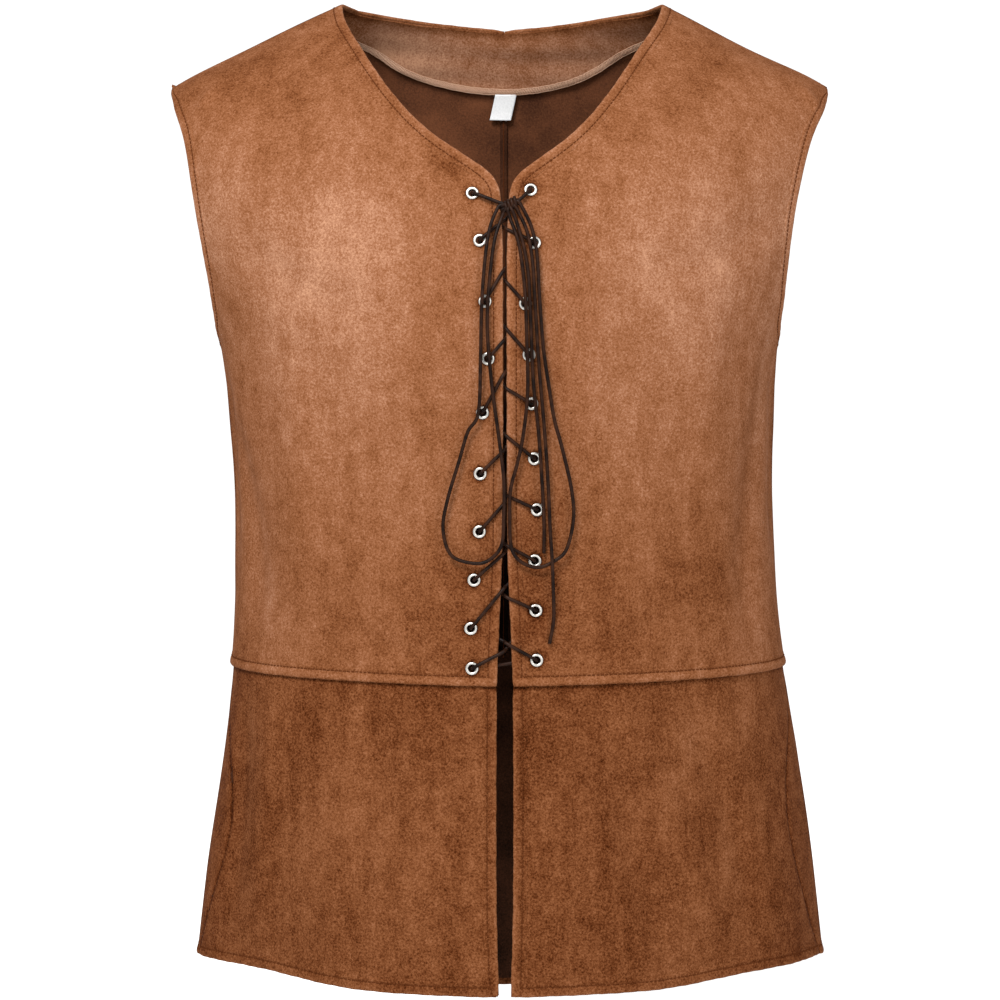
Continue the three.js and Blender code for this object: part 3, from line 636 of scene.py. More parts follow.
def shaped(points, outward, seam_gap):
    """How far each point moves out along its normal, in metres; little beside the taut lacing."""
    move = np.zeros(len(points))
    aside = np.clip((np.abs(points[:, 0]) - LACED) / EASED, 0, 1)
    calm = np.where(outward[:, 1] < 0, TAUT_SHARE + (1 - TAUT_SHARE) * aside, 1)
    for path, width, depth in crease_paths:
        gap, along = off_path(points, path)
        ends = np.clip(np.minimum(along, 1 - along) * 4, 0, 1)
        ends = ends * ends * (3 - 2 * ends)
        crease = depth * np.exp(-((gap / width) ** 2)) * (0.25 + 0.75 * ends) * (gap < 3 * width)
        move += crease if width < SHARP_CREASE else crease * calm
    for waves, height, phase in SWELL_WAVES:
        move += calm * height * MM * np.sin(points @ (2 * math.pi * np.array(waves) / 4) + phase)
    return move - SEAM_SINK * np.exp(-((seam_gap / SEAM_WIDE) ** 2))


def boundary_loop(mesh):
    """The sheet's outline as a closed ring of vertex numbers."""
    work = bmesh.new()
    work.from_mesh(mesh)
    ring = [vertex.index for vertex in max(open_loops(work), key=len)]
    work.free()
    return ring


WAIST_BAND = (205, 240)  # the only level edges between these heights are the waist's
SEAM_REACH = 1.0 * MM  # a neighbour nearer than this is sewn on


def edge_kinds(name, outline, points):
    """What each outline point is: free and turned, in a seam, at the waist lap, or under it."""
    others = [tree for other, tree in panel_trees.items() if other != name]
    spans = list(zip(outline, np.roll(outline, -1, axis=0)))
    kinds = []
    for a, b in spans:
        middle = (a + b) / 2
        level = abs((b - a)[2]) < 0.7 * np.linalg.norm(b - a)
        nearest = min((tree.find_nearest(Vector(middle), 5 * MM)[3] or 1) for tree in others)
        if level and WAIST_BAND[0] < middle[2] / MM + HELD_HEIGHT < WAIST_BAND[1]:
            kinds.append("under" if name in SKIRTS else "waist")
        else:
            kinds.append("seam" if nearest < SEAM_REACH else "free")
    gaps = np.stack([off_path(points, np.array(span))[0] for span in spans])
    return [kinds[i] for i in np.argmin(gaps, axis=0)]


def up_to_corner(run, points):
    """The run without a first point that lies past a corner of the outline."""
    first, second, third = points[run[0]], points[run[1]], points[run[2]]
    turn = Vector(second - first).angle(Vector(third - second), 0)
    return run[1:] if turn > CORNER_ANGLE else run


def runs_of(kinds, wanted, points):
    """Stretches of the ring with the wanted kind, each as a list of places in it."""
    count = len(kinds)
    if all(kind == wanted for kind in kinds):
        return [list(range(count))]
    start = next(i for i in range(count) if kinds[i] != wanted)
    runs, run = [], []
    for step in range(count + 1):
        i = (start + step) % count
        if kinds[i] == wanted and step < count:
            run.append(i)
        else:
            if len(run) > 3:
                run = [(run[0] - 1) % count, *run, (run[-1] + 1) % count]
                runs.append(up_to_corner(up_to_corner(run, points)[::-1], points)[::-1])
            run = []
    return runs


def resampled(line, pitch):
    """Points a pitch apart along a line of numpy points."""
    steps = np.linalg.norm(np.diff(line, axis=0), axis=1)
    far = np.concatenate([[0], np.cumsum(steps)])
    count = max(int(round(far[-1] / pitch)), 2)
    want = np.linspace(0, far[-1], count + 1)
    return np.stack([np.interp(want, far, line[:, k]) for k in range(3)], axis=1)


def smoothed(line, rounds=2):
    """The line with its small unevenness taken out and its corners kept."""
    steps = np.diff(line, axis=0)
    steps /= np.linalg.norm(steps, axis=1)[:, None]
    easy = (steps[:-1] * steps[1:]).sum(axis=1) > math.cos(CORNER_ANGLE)
    for _ in range(rounds):
        soft = (line[:-2] + 2 * line[1:-1] + line[2:]) / 4
        line[1:-1] = np.where(easy[:, None], soft, line[1:-1])
    return line


class Edge:
    """A stretch of a panel's outline with its directions: along, out of the cloth and inwards."""

    def __init__(self, line, sheet, pitch=3 * MM):
        self.line = smoothed(resampled(line, pitch))
        self.sheet = sheet
        along = np.gradient(self.line, axis=0)
        along /= np.linalg.norm(along, axis=1)[:, None]
        self.out = np.array([self.outward(p) for p in self.line])
        self.inward = np.cross(self.out, along)
        inner = self.line + 3 * MM * self.inward
        on_sheet = np.array([sheet.find_nearest(Vector(p))[0] for p in inner])
        if np.linalg.norm(on_sheet - inner, axis=1).mean() > 1.5 * MM:
            self.inward = -self.inward
        self.length = np.linalg.norm(np.diff(self.line, axis=0), axis=1).sum()

    def outward(self, point):
        return np.array(self.sheet.find_nearest(Vector(point))[1])

    def at(self, i, inset, lift):
        """A point in from the edge along the cloth, and out from it, in mm."""
        spot = self.line[i] + self.inward[i] * inset * MM
        if inset <= 0.5:
            return spot + self.out[i] * lift * MM
        hit, normal, _, _ = self.sheet.find_nearest(Vector(spot))
        return np.array(hit) + np.array(normal) * lift * MM


PUCKER = 0.11  # how far the sewing draws the edges in and out, mm


def swept(edge, profile):
    """A band along an edge with this profile of (inset, lift) in mm, puckered, its ends flat."""
    count, points = len(edge.line), []
    for i in range(count):
        pucker = PUCKER * (math.sin(i * 1.7) + math.sin(i * 0.61 + edge.length * 90))
        flat = min(1, 0.3 + 0.35 * min(i, count - 1 - i))
        for inset, lift in profile:
            inset = max(inset, -flat) + pucker
            points.append(edge.at(i, inset, (lift + pucker) * flat if lift > 0 else lift))
    return points, tube(count, len(profile))


# The turned edges, from the wrong side round the fold to past the stitch line.
FREE_STITCH, WAIST_STITCH = 6.0, 6.4  # from an edge to its stitch line, mm
TURNED_EDGE = [
    (2.0, -2.5), (0.2, -2.4), (-0.5, -1.9), (-0.75, -1.1), (-0.7, -0.3), (-0.3, 0.35), (0.4, 0.7),
    (1.6, 0.85), (3.4, 0.8), (5.0, 0.55), (FREE_STITCH, -0.05), (7.0, 0.32), (8.6, 0.2),
    (10.4, -0.3), (6, -1.0),
]
WAIST_EDGE = [
    (2.0, -1.7), (0.2, -1.7), (-0.4, -1.2), (-0.6, -0.5), (-0.4, 0.3), (0.3, 0.85), (1.4, 1.05),
    (3.4, 1.0), (5.2, 0.75), (WAIST_STITCH, -0.05), (7.4, 0.3), (9.0, 0.1), (10.6, -0.3),
    (6, -1.0),
]
STITCH_PITCH = 3.3 * MM
STITCH_LONG = 2.5 * MM
STITCH_RADIUS = 0.42 * MM
STITCH_LIFT = 0.3
STITCH_RINGS = [(-0.5, 0.25, 0), (-0.3, 1.0, 0), (0.3, 1.0, 0), (0.5, 0.25, 0)]
THREAD_SIDES = 5


def short_thread(start, way, out, radius, rings):
    """A thread through rings of (share of the way, size, lift in radii), as vertices and faces."""
    side = np.cross(out, way / np.linalg.norm(way))
    points = []
    for share, size, lift in rings:
        middle = start + way * share + out * lift * radius
        for j in range(THREAD_SIDES):
            angle = 2 * math.pi * j / THREAD_SIDES
            offset = (side * math.cos(angle) + out * math.sin(angle)) * radius * size
            points.append(middle + offset)
    return points, tube(len(rings), THREAD_SIDES)


def stitches(edge, inset):
    """Short rounded threads in a row along an edge."""
    row = np.array([edge.at(i, inset, STITCH_LIFT) for i in range(len(edge.line))])
    spots = resampled(row, STITCH_PITCH)
    threads = []
    for a, b in zip(spots[:-1], spots[1:]):
        way = (b - a) / np.linalg.norm(b - a) * STITCH_LONG
        middle = (a + b) / 2
        threads.append(
            short_thread(middle, way, edge.outward(middle), STITCH_RADIUS, STITCH_RINGS)
        )
    return gather(threads)


# Faux suede. Brushed microfibre knit: matt, with a short nap that lies light or dark in soft clouds
# where it has been stroked, and a fine salt-and-pepper grain.
NAP_SHADES = ["#1c0a02", "#321404", "#4b2813", "#5e3820", "#6c452e", "#7c5742", "#8e6850"]
NAP_DARKEST, NAP_LIGHTEST = -0.25, 1.25  # the nap values of the first and the last shade
CLOUD = 0.045  # size of a nap cloud, m
STROKE = 0.014  # width of the streaks that a brush leaves, m; they are five times as long
BLOTCH = 0.011  # size of the small blotches, m
GRAIN = 0.0015  # the nap's grain, drawn about twice its real size so that it shows, m
suede, tree, shader = finish("faux_suede", Roughness=0.95, Specular_IOR_Level=0.02)
place = add(tree, "ShaderNodeTexCoord").outputs["Object"]
# this attribute carries the nap's tone together with painted highlights and painted shade
tone = add(tree, "ShaderNodeAttribute", {"attribute_name": "nap_light_and_shade"}).outputs["Fac"]
hanging = add(tree, "ShaderNodeMapping", Vector=place, Scale=(1, 1, 0.5)).outputs["Vector"]
brushed = add(
    tree, "ShaderNodeMapping", Vector=place, Rotation=(0, math.radians(-12), 0), Scale=(1, 1, 0.2)
).outputs["Vector"]


def mottle(vector, scale, depth, detail=3.0, rough=0.6):
    """A noise and its share of the nap's value, as much lighter as darker."""
    noise = add(tree, "ShaderNodeTexNoise", Vector=vector, Scale=scale, Detail=detail,
                Roughness=rough).outputs["Fac"]
    share = add(tree, "ShaderNodeMath", {"operation": "MULTIPLY_ADD"}, _0=noise, _1=depth,
                _2=-depth / 2).outputs[0]
    return noise, share


speckle, grainy = mottle(place, 1 / GRAIN, 1.35, 2.0, 0.7)
fine, fluffy = mottle(place, 2.6 / GRAIN, 0.6, 2.0)
_, cloudy = mottle(hanging, 1 / CLOUD, 0.50, 4.0)
_, streaky = mottle(brushed, 1 / STROKE, 0.44)
_, blotchy = mottle(place, 1 / BLOTCH, 0.50)
total = tone
for part in (cloudy, streaky, blotchy, grainy, fluffy):
    total = add(tree, "ShaderNodeMath", {"operation": "ADD"}, _0=total, _1=part).outputs[0]
shade = add(tree, "ShaderNodeMapRange", Value=total, From_Min=NAP_DARKEST, From_Max=NAP_LIGHTEST)
ramp = add(tree, "ShaderNodeValToRGB", Fac=shade.outputs["Result"])
pile = add(tree, "ShaderNodeBump", Height=speckle, Strength=0.4, Distance=0.0006)
fuzz = add(tree, "ShaderNodeBump", Height=fine, Strength=0.35, Distance=0.0003,
           Normal=pile.outputs["Normal"])
feed(tree, shader, Base_Color=dyed(ramp, *NAP_SHADES), Normal=fuzz.outputs["Normal"])

# The wrong side of the same cloth: a plain dark brown knit backing, dull and a little fluffy.
backing, tree, shader = finish("knit_backing", Roughness=0.97, Specular_IOR_Level=0.05)
place = add(tree, "ShaderNodeTexCoord").outputs["Object"]
knit = add(tree, "ShaderNodeTexNoise", Vector=place, Scale=700.0, Detail=3.0, Roughness=0.7)
soft = add(tree, "ShaderNodeTexNoise", Vector=place, Scale=30.0, Detail=3.0)
mixed = add(tree, "ShaderNodeMath", {"operation": "MULTIPLY_ADD"}, _0=knit.outputs["Fac"], _1=0.9,
            _2=soft.outputs["Fac"])
# Painted shade: the backing gets darker towards the hem, and darker on the seam ridges, whose
# attribute sets how much.
height = add(tree, "ShaderNodeSeparateXYZ", Vector=place).outputs["Z"]
painted_shade_low = add(tree, "ShaderNodeMapRange", Value=height, From_Min=-0.08, From_Max=-0.3,
             To_Min=0.2, To_Max=0.7)
ridge_shade = add(tree, "ShaderNodeAttribute", {"attribute_name": "ridge_shade"}).outputs["Fac"]
for darker in (painted_shade_low.outputs["Result"], ridge_shade):
    mixed = add(tree, "ShaderNodeMath", {"operation": "SUBTRACT"}, _0=mixed.outputs[0], _1=darker)
ramp = add(tree, "ShaderNodeValToRGB", Fac=mixed.outputs[0])
bump = add(tree, "ShaderNodeBump", Height=knit.outputs["Fac"], Strength=0.5, Distance=0.0005)
feed(tree, shader, Base_Color=dyed(ramp, "#100703", "#361e12", "#583420"),
     Normal=bump.outputs["Normal"])

# Polyester sewing thread: matched brown and matt, its twist shown as fine flecks.
thread, tree, shader = finish("brown_polyester_thread", Roughness=0.8, Specular_IOR_Level=0.0)
place = add(tree, "ShaderNodeTexCoord").outputs["Object"]
twist = add(tree, "ShaderNodeTexNoise", Vector=place, Scale=1500.0, Detail=1.0)
ramp = add(tree, "ShaderNodeValToRGB", Fac=twist.outputs["Fac"])
feed(tree, shader, Base_Color=dyed(ramp, "#301507", "#532b15"))

# How light the cloth is, in soft patches on each face: middle (across, height), half sizes in mm,
# how far the patch is turned in degrees, and how much lighter (+) or darker (-) it is. Mostly the
# nap's own tone; the light chest patches are a painted highlight, and the narrow patch along the
# crease by the lacing and the dark patches at the sides of the back and skirt are painted shade.
NAP_BASE = 0.50
SKIRT_BASE = 0.30
SIDE_FADE = 0.03  # a patch fades out over this depth at the sides, m
NAP_LIGHT_AND_SHADE_PATCHES = {
    "front": [
        (-125, 530, 75, 85, 8, 0.42), (128, 530, 75, 85, -8, 0.36), (-105, 400, 70, 90, 0, 0.20),
        (100, 410, 60, 110, 0, 0.14), (-190, 400, 24, 190, 2, 0.06), (190, 400, 24, 200, -2, 0.16),
        (0, 300, 70, 70, 0, -0.12), (-42, 587, 6, 20, 44, -0.22), (-200, 660, 60, 40, 0, -0.08),
        (-222, 560, 26, 70, 0, 0.22), (222, 560, 26, 70, 0, 0.16), (0, 245, 90, 45, 0, -0.12),
        (120, 285, 60, 60, 0, -0.08), (-208, 110, 30, 130, -6, -0.06),
        (208, 110, 30, 130, 6, -0.06), (60, 60, 40, 60, -30, -0.08), (110, 130, 18, 90, -34, 0.14),
        (165, 90, 16, 90, -30, 0.10), (-90, 120, 50, 70, 0, 0.07),
    ],
    "back": [
        (0, 560, 130, 110, 0, 0.24), (-120, 330, 60, 120, 0, 0.10), (110, 350, 60, 120, 0, 0.10),
        (0, 300, 30, 200, 0, -0.07), (-190, 380, 26, 190, 0, -0.14), (190, 380, 26, 190, 0, -0.14),
        (-90, 60, 60, 80, 20, 0.10), (100, 40, 60, 80, -20, 0.10),
    ],
}
# Painted highlight along the folded free edges, which are also rubbed, and along the raised waist
# lap; painted shade in the stitch grooves and a painted shadow on the skirt under the lap; the
# seams are darker.
EDGE_LIGHT_AND_SHADE = [  # where edges are painted lighter or darker: inset, reach in mm, and how much lighter
    ("free", 0.0, 1.6, 0.20), ("free", FREE_STITCH, 1.3, -0.07), ("waist", 3.2, 3.2, 0.14),
    ("waist", WAIST_STITCH, 1.3, -0.16), ("under", 7.0, 2.0, -0.18), ("seam", 0.0, 1.8, -0.22),
]
# Painted shadow round each eyelet's flange: its reach, and how much lighter (negative).
EYELET_SHADOW = (5.0 * MM, -0.85)


def paint_nap_light_and_shade(piece, base=NAP_BASE, light_shade_and_wear=()):
    """Stores how light the cloth is at every vertex: the nap's tone, with painted highlights and
    painted shade.
    """
    points = coordinates(piece.data)
    value = np.full(len(points), base)
    fade = np.clip(np.abs(points[:, 1]) / SIDE_FADE, 0, 1)
    for face, patches in NAP_LIGHT_AND_SHADE_PATCHES.items():
        shows = (points[:, 1] < 0 if face == "front" else points[:, 1] >= 0) * fade
        for across, height, wide, tall, turned, lighter in patches:
            right, up = points[:, 0] / MM - across, points[:, 2] / MM + HELD_HEIGHT - height
            cos, sin = math.cos(math.radians(turned)), math.sin(math.radians(turned))
            a, b = (right * cos + up * sin) / wide, (up * cos - right * sin) / tall
            value += lighter * np.exp(-(a * a + b * b)) * shows
    for line, reach, lighter in light_shade_and_wear:
        gap, _ = off_path(points, line)
        value += lighter * np.exp(-((gap / reach) ** 2))
    attribute = piece.data.attributes.new("nap_light_and_shade", "FLOAT", "POINT")
    attribute.data.foreach_set("value", value.astype(np.float32))


def eyelet_spots(name):
    side = "left" if name.endswith("left") else "right"
    return [on_front(SIDES[side] * x, height) for x, height, _ in EYELETS[side]]


HOLE = 3.5 * MM  # radius
HOLE_SMOOTH, HOLE_RIM = 14 * MM, 8 * MM  # how far round a hole the sheet is smoothed, and fitted


def punch(sheet_mesh, spots):
    """Opens a round hole in the sheet at each spot."""
    work = bmesh.new()
    work.from_mesh(sheet_mesh)
    axes = {"use_axis_x": True, "use_axis_y": True, "use_axis_z": True}
    for spot in spots:
        near = [v for v in work.verts if (v.co - spot).length < HOLE_SMOOTH and not v.is_boundary]
        for _ in range(6):
            bmesh.ops.smooth_vert(work, verts=near, factor=0.5, **axes)
    for spot in spots:
        hole = [f for f in work.faces if (f.calc_center_median() - spot).length < HOLE]
        bmesh.ops.delete(work, geom=hole, context="FACES")
        for v in work.verts:
            if v.is_boundary and (v.co - spot).length < HOLE_RIM:
                v.co = spot + (v.co - spot).normalized() * HOLE
    work.to_mesh(sheet_mesh)
    work.free()


def smooth_sheet(name, levels, facing_in=False):
    """One face of a node's wall as a new finely divided object, and the outline it started from."""
    sheet = outer_sheet(name, facing_in)
    outline = np.array([vertex.co for vertex in max(open_loops(sheet), key=len)])
    mesh = bpy.data.meshes.new(name + "_cloth")
    sheet.to_mesh(mesh)
    sheet.free()
    piece = in_scene(name + "_cloth", mesh)
    smooth = piece.modifiers.new("smooth", "SUBSURF")
    smooth.levels = smooth.render_levels = levels
    smooth.boundary_smooth = "PRESERVE_CORNERS"
    apply_modifiers(piece)
    return piece, outline


def shade_smooth(piece):
    for polygon in piece.data.polygons:
        polygon.use_smooth = True


def join_into(piece, parts):
    bpy.ops.object.select_all(action="DESELECT")
    for part in [piece, *parts]:
        part.select_set(True)
    bpy.context.view_layer.objects.active = piece
    bpy.ops.object.join()
    shade_smooth(piece)


def thicken(piece, thickness, materials=()):
    """Gives a sheet its wall, inwards. The last material goes on the wall's inner side."""
    wall = piece.modifiers.new("thickness", "SOLIDIFY")
    wall.thickness = thickness
    wall.offset = -1
    wall.material_offset = max(len(materials) - 1, 0)
    for material in materials:
        piece.data.materials.append(material)
    apply_modifiers(piece)


seam_edges = {}  # of each panel, for the ridges inside


def dress(name, base=NAP_BASE):
    """A panel of cloth over its frame node: its shape, thickness, turned edges and stitching."""
    piece, outline = smooth_sheet(name, PANEL_LEVELS)
    mesh = piece.data
    ring = boundary_loop(mesh)
    points = coordinates(mesh)
    rim = points[ring]
    kinds = edge_kinds(name, outline, rim)
    gap = np.full(len(points), 1.0)
    for seam in (rim[run] for run in runs_of(kinds, "seam", rim)):
        gap = np.minimum(gap, off_path(points, seam[:: max(len(seam) // 60, 1)])[0])
    moved = points + normals(mesh) * shaped(points, normals(mesh), gap)[:, None]
    move_to(mesh, moved)
    cover = tree_of(mesh)
    edges = {
        kind: [Edge(moved[ring][run], cover) for run in runs_of(kinds, kind, rim)]
        for kind in ("free", "waist", "seam", "under")
    }
    seam_edges[name] = edges["seam"]
    spots = eyelet_spots(name) if name in FRONTS else []
    if spots:
        punch(mesh, spots)
    thicken(piece, CLOTH, (suede, backing))
    parts = []
    for kind, profile in (("free", TURNED_EDGE), ("waist", WAIST_EDGE)):
        for number, edge in enumerate(edges[kind]):
            turned = mesh_piece(f"{name}_{kind}_{number}", *swept(edge, profile), [suede])
            tidy_normals(turned)
            parts.append(turned)
    join_into(piece, parts)
    # painted highlights on the folded edges and the waist lap, painted shade in the stitch grooves
    # and under the lap, darker seams
    light_shade_and_wear = [
        (edge.line[::3] + edge.inward[::3] * inset * MM, reach * MM, lighter)
        for kind, inset, reach, lighter in EDGE_LIGHT_AND_SHADE
        for edge in edges[kind]
    ]
    # a painted shadow round each eyelet
    for spot in spots:
        light_shade_and_wear.append((np.array([spot, spot + Vector((0, 0, 0.1 * MM))]), *EYELET_SHADOW))
    paint_nap_light_and_shade(piece, base, light_shade_and_wear)
    rows = [stitches(edge, FREE_STITCH) for edge in edges["free"]]
    rows += [stitches(edge, WAIST_STITCH) for edge in edges["waist"]]
    sewing = mesh_piece(name + "_stitching", *gather(rows), [thread])
    tidy_normals(sewing)
    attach(piece, "root")
    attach(sewing, "root")
    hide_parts(name)


dress("front_left")
dress("front_right")
dress("back_left")
dress("back_right")
dress("skirt_front_left", SKIRT_BASE)
dress("skirt_front_right", SKIRT_BASE)
dress("skirt_back", SKIRT_BASE)

# ---- back neck facing --------------------------------------------------------------------------
# A curved strip of the same suede sewn inside the back neck, its nap towards the wearer. Its lower
# edge is overlocked: slanting loops of a paler thread, close together, over two that run along it.
FACING_CLOTH = 1.2 * MM
FACING_LEVELS = 4
MIDDLE_HEIGHT, MIDDLE_RISE = 682, 26  # half-way between its edges: at centre back, and rising, mm
NECK_POINT_X = 0.121  # to each neck point, m
FACING_BASE = 0.74
# Painted light and shade on the facing: light patches along its lower edge, painted shade at its
# two ends, and a painted shadow along its top edge under the neck.
FACING_LIGHT_PATCHES = [(-80, 42, 0.44), (68, 32, 0.20)]  # across, reach in mm, and how much lighter
FACING_END_SHADE = (30 * MM, -0.25)
FACING_TOP_SHADOW = (5 * MM, -0.4)
FACING_WAVES = [  # waves in the strip, in radians per metre; mm high; phase
    ((70, 0, 40), 0.45, 0), ((150, 0, 0), 0.3, -1), ((14, 0, 330), 0.35, 1),
    ((-30, 0, 210), 0.4, 2),
]
OVERLOCK_ROWS = (0.1, 4.6)  # insets of the two threads that the loops run between, mm
OVERLOCK_PITCH = 1.3 * MM
OVERLOCK_LIFT = 0.6
OVERLOCK_RADIUS = 0.42 * MM
OVERLOCK_RINGS = [(0, 0.4, -0.3), (0.25, 1, 0.5), (0.75, 1, 0.5), (1, 0.4, -0.3)]
DIAMOND = [(-0.3, 0), (0, -0.3), (0.3, 0), (0, 0.3)]  # the section of a thread, mm
OVERLOCK_BAND = [
    (-0.4, -0.9), (-0.6, -0.3), (-0.4, 0.25), (0.3, 0.5), (2.2, 0.55), (4.2, 0.45), (4.9, 0.1),
    (2.5, -0.7),
]

# Overlock thread: loose, fluffy spun polyester in a paler brown than the cloth.
overlock, tree, shader = finish("overlock_thread", Roughness=0.8, Specular_IOR_Level=0.3)
place = add(tree, "ShaderNodeTexCoord").outputs["Object"]
fluff = add(tree, "ShaderNodeTexNoise", Vector=place, Scale=1100.0, Detail=3.0)
ramp = add(tree, "ShaderNodeValToRGB", Fac=fluff.outputs["Fac"])
bump = add(tree, "ShaderNodeBump", Height=fluff.outputs["Fac"], Strength=0.6, Distance=0.0004)
feed(tree, shader, Base_Color=dyed(ramp, "#71503b", "#c09c82"), Normal=bump.outputs["Normal"])


def between_edges(x):
    """A height between the facing's two long edges, to tell them apart."""
    return MIDDLE_HEIGHT + MIDDLE_RISE * (x / NECK_POINT_X) ** 2


def follow_cloth(piece):
    """Moves a piece that lies inside the cloth as the cloth's own folds have moved."""
    points, outward = coordinates(piece.data), -normals(piece.data)
    points += outward * shaped(points, outward, np.full(len(points), 1.0))[:, None]
    move_to(piece.data, points)


facing, _ = smooth_sheet("back_neck_facing", FACING_LEVELS, facing_in=True)
follow_cloth(facing)
ring = boundary_loop(facing.data)
points = coordinates(facing.data)
wavy = sum(
    high * MM * np.sin(points @ np.array(waves) + phase) for waves, high, phase in FACING_WAVES
)
points = points + normals(facing.data) * wavy[:, None]
move_to(facing.data, points)
rim = points[ring]
below = rim[:, 2] / MM + HELD_HEIGHT < between_edges(rim[:, 0])
kinds = np.where(below, "low", "high")
low_edge, high_edge = (
    Edge(rim[max(runs_of(kinds, kind, rim), key=len)], tree_of(facing.data), OVERLOCK_PITCH)
    for kind in ("low", "high")
)
thicken(facing, FACING_CLOTH, (suede, backing))
band = mesh_piece("facing_edge", *swept(low_edge, OVERLOCK_BAND), [suede])
tidy_normals(band)
join_into(facing, [band])
# painted shade at the ends, painted light in patches, and a painted shadow along the top edge
light_shade_and_wear = [(line, *FACING_END_SHADE) for line in (low_edge.line[:2], low_edge.line[-2:])]
for across, reach, lighter in FACING_LIGHT_PATCHES:
    near = np.abs(low_edge.line[:, 0] - across * MM).argmin()
    light_shade_and_wear.append((low_edge.line[near : near + 2], reach * MM, lighter))
light_shade_and_wear.append((high_edge.line[::4], *FACING_TOP_SHADOW))
paint_nap_light_and_shade(facing, FACING_BASE, light_shade_and_wear)
loops = [
    swept(low_edge, [(inset + a, OVERLOCK_LIFT + b) for a, b in DIAMOND])
    for inset in OVERLOCK_ROWS
]
for i in range(len(low_edge.line) - 2):
    start = low_edge.at(i, OVERLOCK_ROWS[0], OVERLOCK_LIFT)
    way = low_edge.at(i + 2, OVERLOCK_ROWS[1], OVERLOCK_LIFT - 0.05) - start
    loops.append(short_thread(start, way, low_edge.out[i], OVERLOCK_RADIUS, OVERLOCK_RINGS))
overlocked = mesh_piece("facing_overlock", *gather(loops), [overlock])
tidy_normals(overlocked)
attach(facing, "root")
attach(overlocked, "root")
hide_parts("back_neck_facing")

# ---- inside seams ------------------------------------------------------------------------------
# At the centre back, the sides and the shoulders the two seam allowances stand up inside as a
# narrow ridge, trimmed and overlocked together along their edge.
RIDGE = [  # the sections of the ridge and of the thread on its crest: across and out, mm
    (-3.1, -1.1), (-2.7, -2.0), (-1.4, -2.6), (-0.5, -3.3), (0.5, -3.3), (1.4, -2.6), (2.7, -2.0),
    (3.1, -1.1),
]
CREST = [(-0.4, -3.0), (-0.3, -3.5), (0.0, -3.7), (0.3, -3.5), (0.4, -3.0)]
RIDGE_SHADE = 0.22  # painted shade: how much darker the seam ridges are painted
FACING_FOOT = 657  # the centre back's ridge ends at this height, where the facing covers it
CENTRE = 20  # what lies nearer than this to the centre line belongs to the centre back seam, mm
SHOULDER_FOOT, WAIST = 630, 216  # heights that part the shoulder, side and skirt seams


def along_seam(edge, profile):
    """A closed bar with this profile along a seam, under the cloth of both its sides."""
    rows = [
        spot + inward * across * MM + out * lift * MM
        for spot, inward, out in zip(edge.line, edge.inward, edge.out)
        if abs(spot[0]) > CENTRE * MM or spot[2] < (FACING_FOOT - HELD_HEIGHT) * MM
        for across, lift in profile
    ]
    return rows, tube(len(rows) // len(profile), len(profile))


def seam_name(edge):
    """Where a seam is, from the middle of its line."""
    x, _, z = edge.line[len(edge.line) // 2] / MM
    side = "left" if x > 0 else "right"
    if abs(x) < CENTRE:
        return "centre_back"
    if z + HELD_HEIGHT > SHOULDER_FOOT:
        return f"shoulder_{side}"
    return f"side_{side}" if z + HELD_HEIGHT > WAIST else f"skirt_side_{side}"


seams = [edge for name in (*BACKS, "skirt_back") for edge in seam_edges[name]]
for name, edge in {seam_name(edge): edge for edge in seams}.items():
    ridge = mesh_piece(f"{name}_allowance", *along_seam(edge, RIDGE), [backing])
    crest = mesh_piece(f"{name}_overlock", *along_seam(edge, CREST), [thread])
    for piece in (ridge, crest):
        tidy_normals(piece)
        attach(piece, "root")
    # the ridges are painted darker as shade
    dark = ridge.data.attributes.new("ridge_shade", "FLOAT", "POINT")
    dark.data.foreach_set("value", [RIDGE_SHADE] * len(ridge.data.vertices))

# ---- care label --------------------------------------------------------------------------------
# A small white woven label, bare, caught in the facing's overlocked edge. It hangs a little askew
# and its lower end curls away from the cloth.
LABEL_HALF = 0.0085  # half its width, m
LABEL_CLOTH = 0.6 * MM
LABEL_LIFT, LABEL_TILT, LABEL_BEND = 1.4 * MM, 0.35 * MM, 0.25 * MM  # of its lower end
LABEL_LEVELS = 3
label, _ = smooth_sheet("care_label", LABEL_LEVELS, facing_in=True)
follow_cloth(label)
points = coordinates(label.data)
top = points[:, 2].max()
hang = (top - points[:, 2]) / (top - points[:, 2].min())
side = (points[:, 0] - points[:, 0].mean()) / LABEL_HALF
curl = LABEL_LIFT * hang**2 + LABEL_TILT * side * hang + LABEL_BEND * np.cos(side * 3)
move_to(label.data, points + normals(label.data) * curl[:, None])

# Woven satin: white polyester with a silky shine, fine ribs across and heat-cut sides.
satin, tree, shader = finish("white_woven_satin", Roughness=0.45, Specular_IOR_Level=0.5)
place = add(tree, "ShaderNodeTexCoord").outputs["Object"]
ribs = add(tree, "ShaderNodeTexWave", {"bands_direction": "Z"}, Vector=place, Scale=500.0,
           Distortion=1.0)
weave = add(tree, "ShaderNodeTexNoise", Vector=place, Scale=900.0, Detail=2.0)
ramp = add(tree, "ShaderNodeValToRGB", Fac=weave.outputs["Fac"])
bump = add(tree, "ShaderNodeBump", Height=ribs.outputs["Fac"], Strength=0.3, Distance=0.0002)
feed(tree, shader, Base_Color=dyed(ramp, "#b0b0b0", "#d4d4d4"), Normal=bump.outputs["Normal"])
thicken(label, LABEL_CLOTH, [satin])
shade_smooth(label)
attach(label, "root")
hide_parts("care_label")

# ---- eyelets -----------------------------------------------------------------------------------
# Two-part nickel eyelets, 9.4 mm over a 5.2 mm hole: a rolled flange in front, a barrel through the
# cloth, and a flat washer behind that the barrel is spread over.

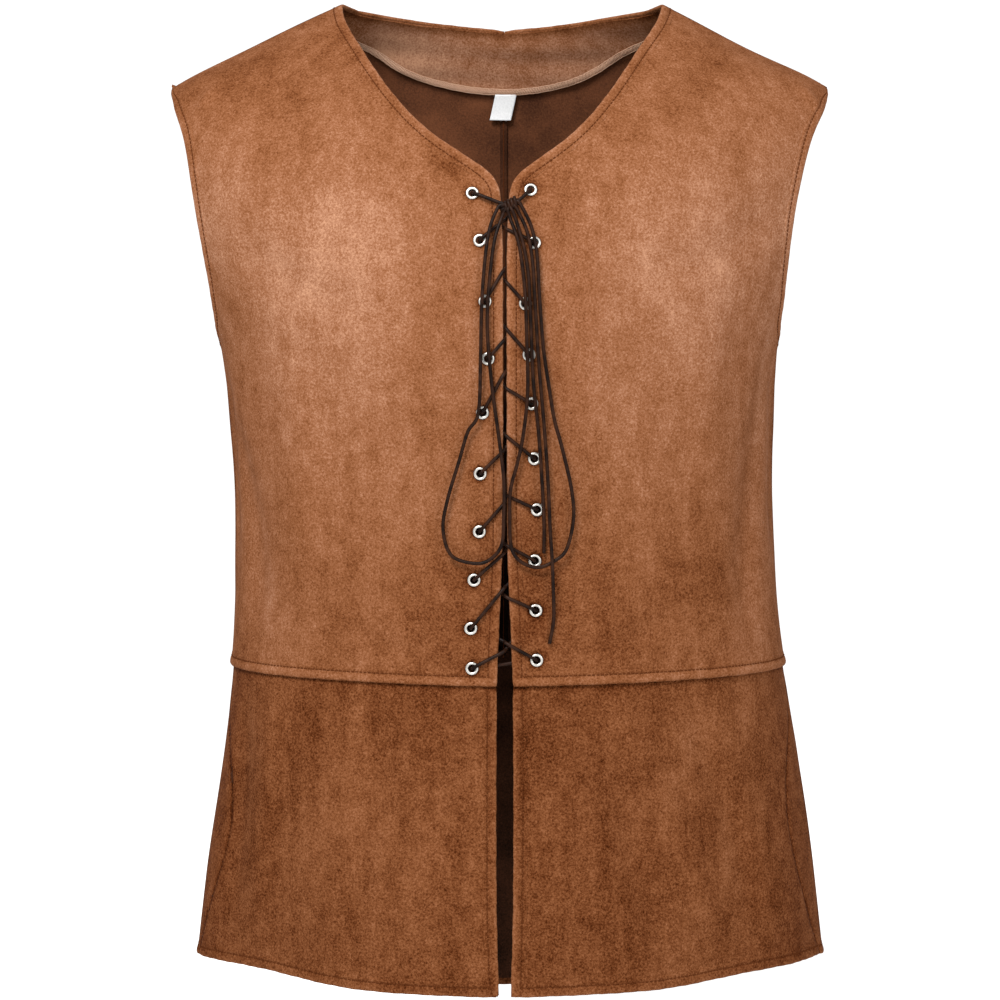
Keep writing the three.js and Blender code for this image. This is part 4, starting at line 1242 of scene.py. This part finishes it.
# Nickel plate on brass: bright metal with a soft gloss, duller where it has been rubbed.
nickel, tree, shader = finish("polished_nickel_plate", Metallic=1.0)
place = add(tree, "ShaderNodeTexCoord").outputs["Object"]
rub = add(tree, "ShaderNodeTexNoise", Vector=place, Scale=500.0, Detail=3.0)
ramp = add(tree, "ShaderNodeValToRGB", Fac=rub.outputs["Fac"])
rough = add(tree, "ShaderNodeMapRange", Value=rub.outputs["Fac"], To_Min=0.28, To_Max=0.46)
feed(tree, shader, Base_Color=dyed(ramp, "#8a8781", "#bab7b1"), Roughness=rough.outputs["Result"])

ROLLED = [  # the flange and the washer: radius, half thickness, its share left, out in mm, sides
    (3.65, 1.05, 0.72, 0.35, 12), (3.4, 0.8, 0.45, -2.1, 8),
]
BARREL_RADIUS, BARREL_DEEP, BARREL_OUT, BARREL_WALL = 3.0 * MM, 2.9 * MM, -1.0 * MM, 0.35 * MM
ROUND = 32  # sides of an eyelet
rings = []
for radius, thick, share, out, sides in ROLLED:
    bpy.ops.object.select_all(action="DESELECT")
    bpy.ops.mesh.primitive_torus_add(
        major_radius=radius * MM, minor_radius=thick * MM, major_segments=ROUND,
        minor_segments=sides,
    )
    rings.append(bpy.context.active_object)
    bpy.ops.object.mode_set(mode="EDIT")
    bpy.ops.mesh.select_all(action="SELECT")
    bpy.ops.transform.resize(value=(1, 1, share), center_override=(0, 0, 0))
    bpy.ops.transform.translate(value=(0, 0, out * MM))
    bpy.ops.object.mode_set(mode="OBJECT")
flange, washer = rings
bpy.ops.object.select_all(action="DESELECT")
bpy.ops.mesh.primitive_cylinder_add(
    vertices=ROUND, radius=BARREL_RADIUS, depth=BARREL_DEEP, end_fill_type="NOTHING",
    location=(0, 0, BARREL_OUT),
)
barrel = bpy.context.active_object
bpy.ops.object.transform_apply(location=True)
thicken(barrel, BARREL_WALL)
join_into(flange, [barrel, washer])
flange.data.materials.clear()
flange.data.materials.append(nickel)


def front_normal(x, height):
    here = on_front(x, height)
    return (on_front(x + 4, height) - here).cross(on_front(x, height + 4) - here).normalized()


for side, sign in SIDES.items():
    for number, (x, height, _) in enumerate(EYELETS[side], 1):
        ring_mesh = flange.data.copy()
        turn = front_normal(sign * x, height).to_track_quat("Z", "Y").to_matrix().to_4x4()
        turn.translation = on_front(sign * x, height)
        ring_mesh.transform(turn)
        eyelet = in_scene(f"eyelet_{side}_{number}_metal", ring_mesh)
        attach(eyelet, "root")
        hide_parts(f"eyelet_{side}_{number}")
bpy.data.objects.remove(flange)
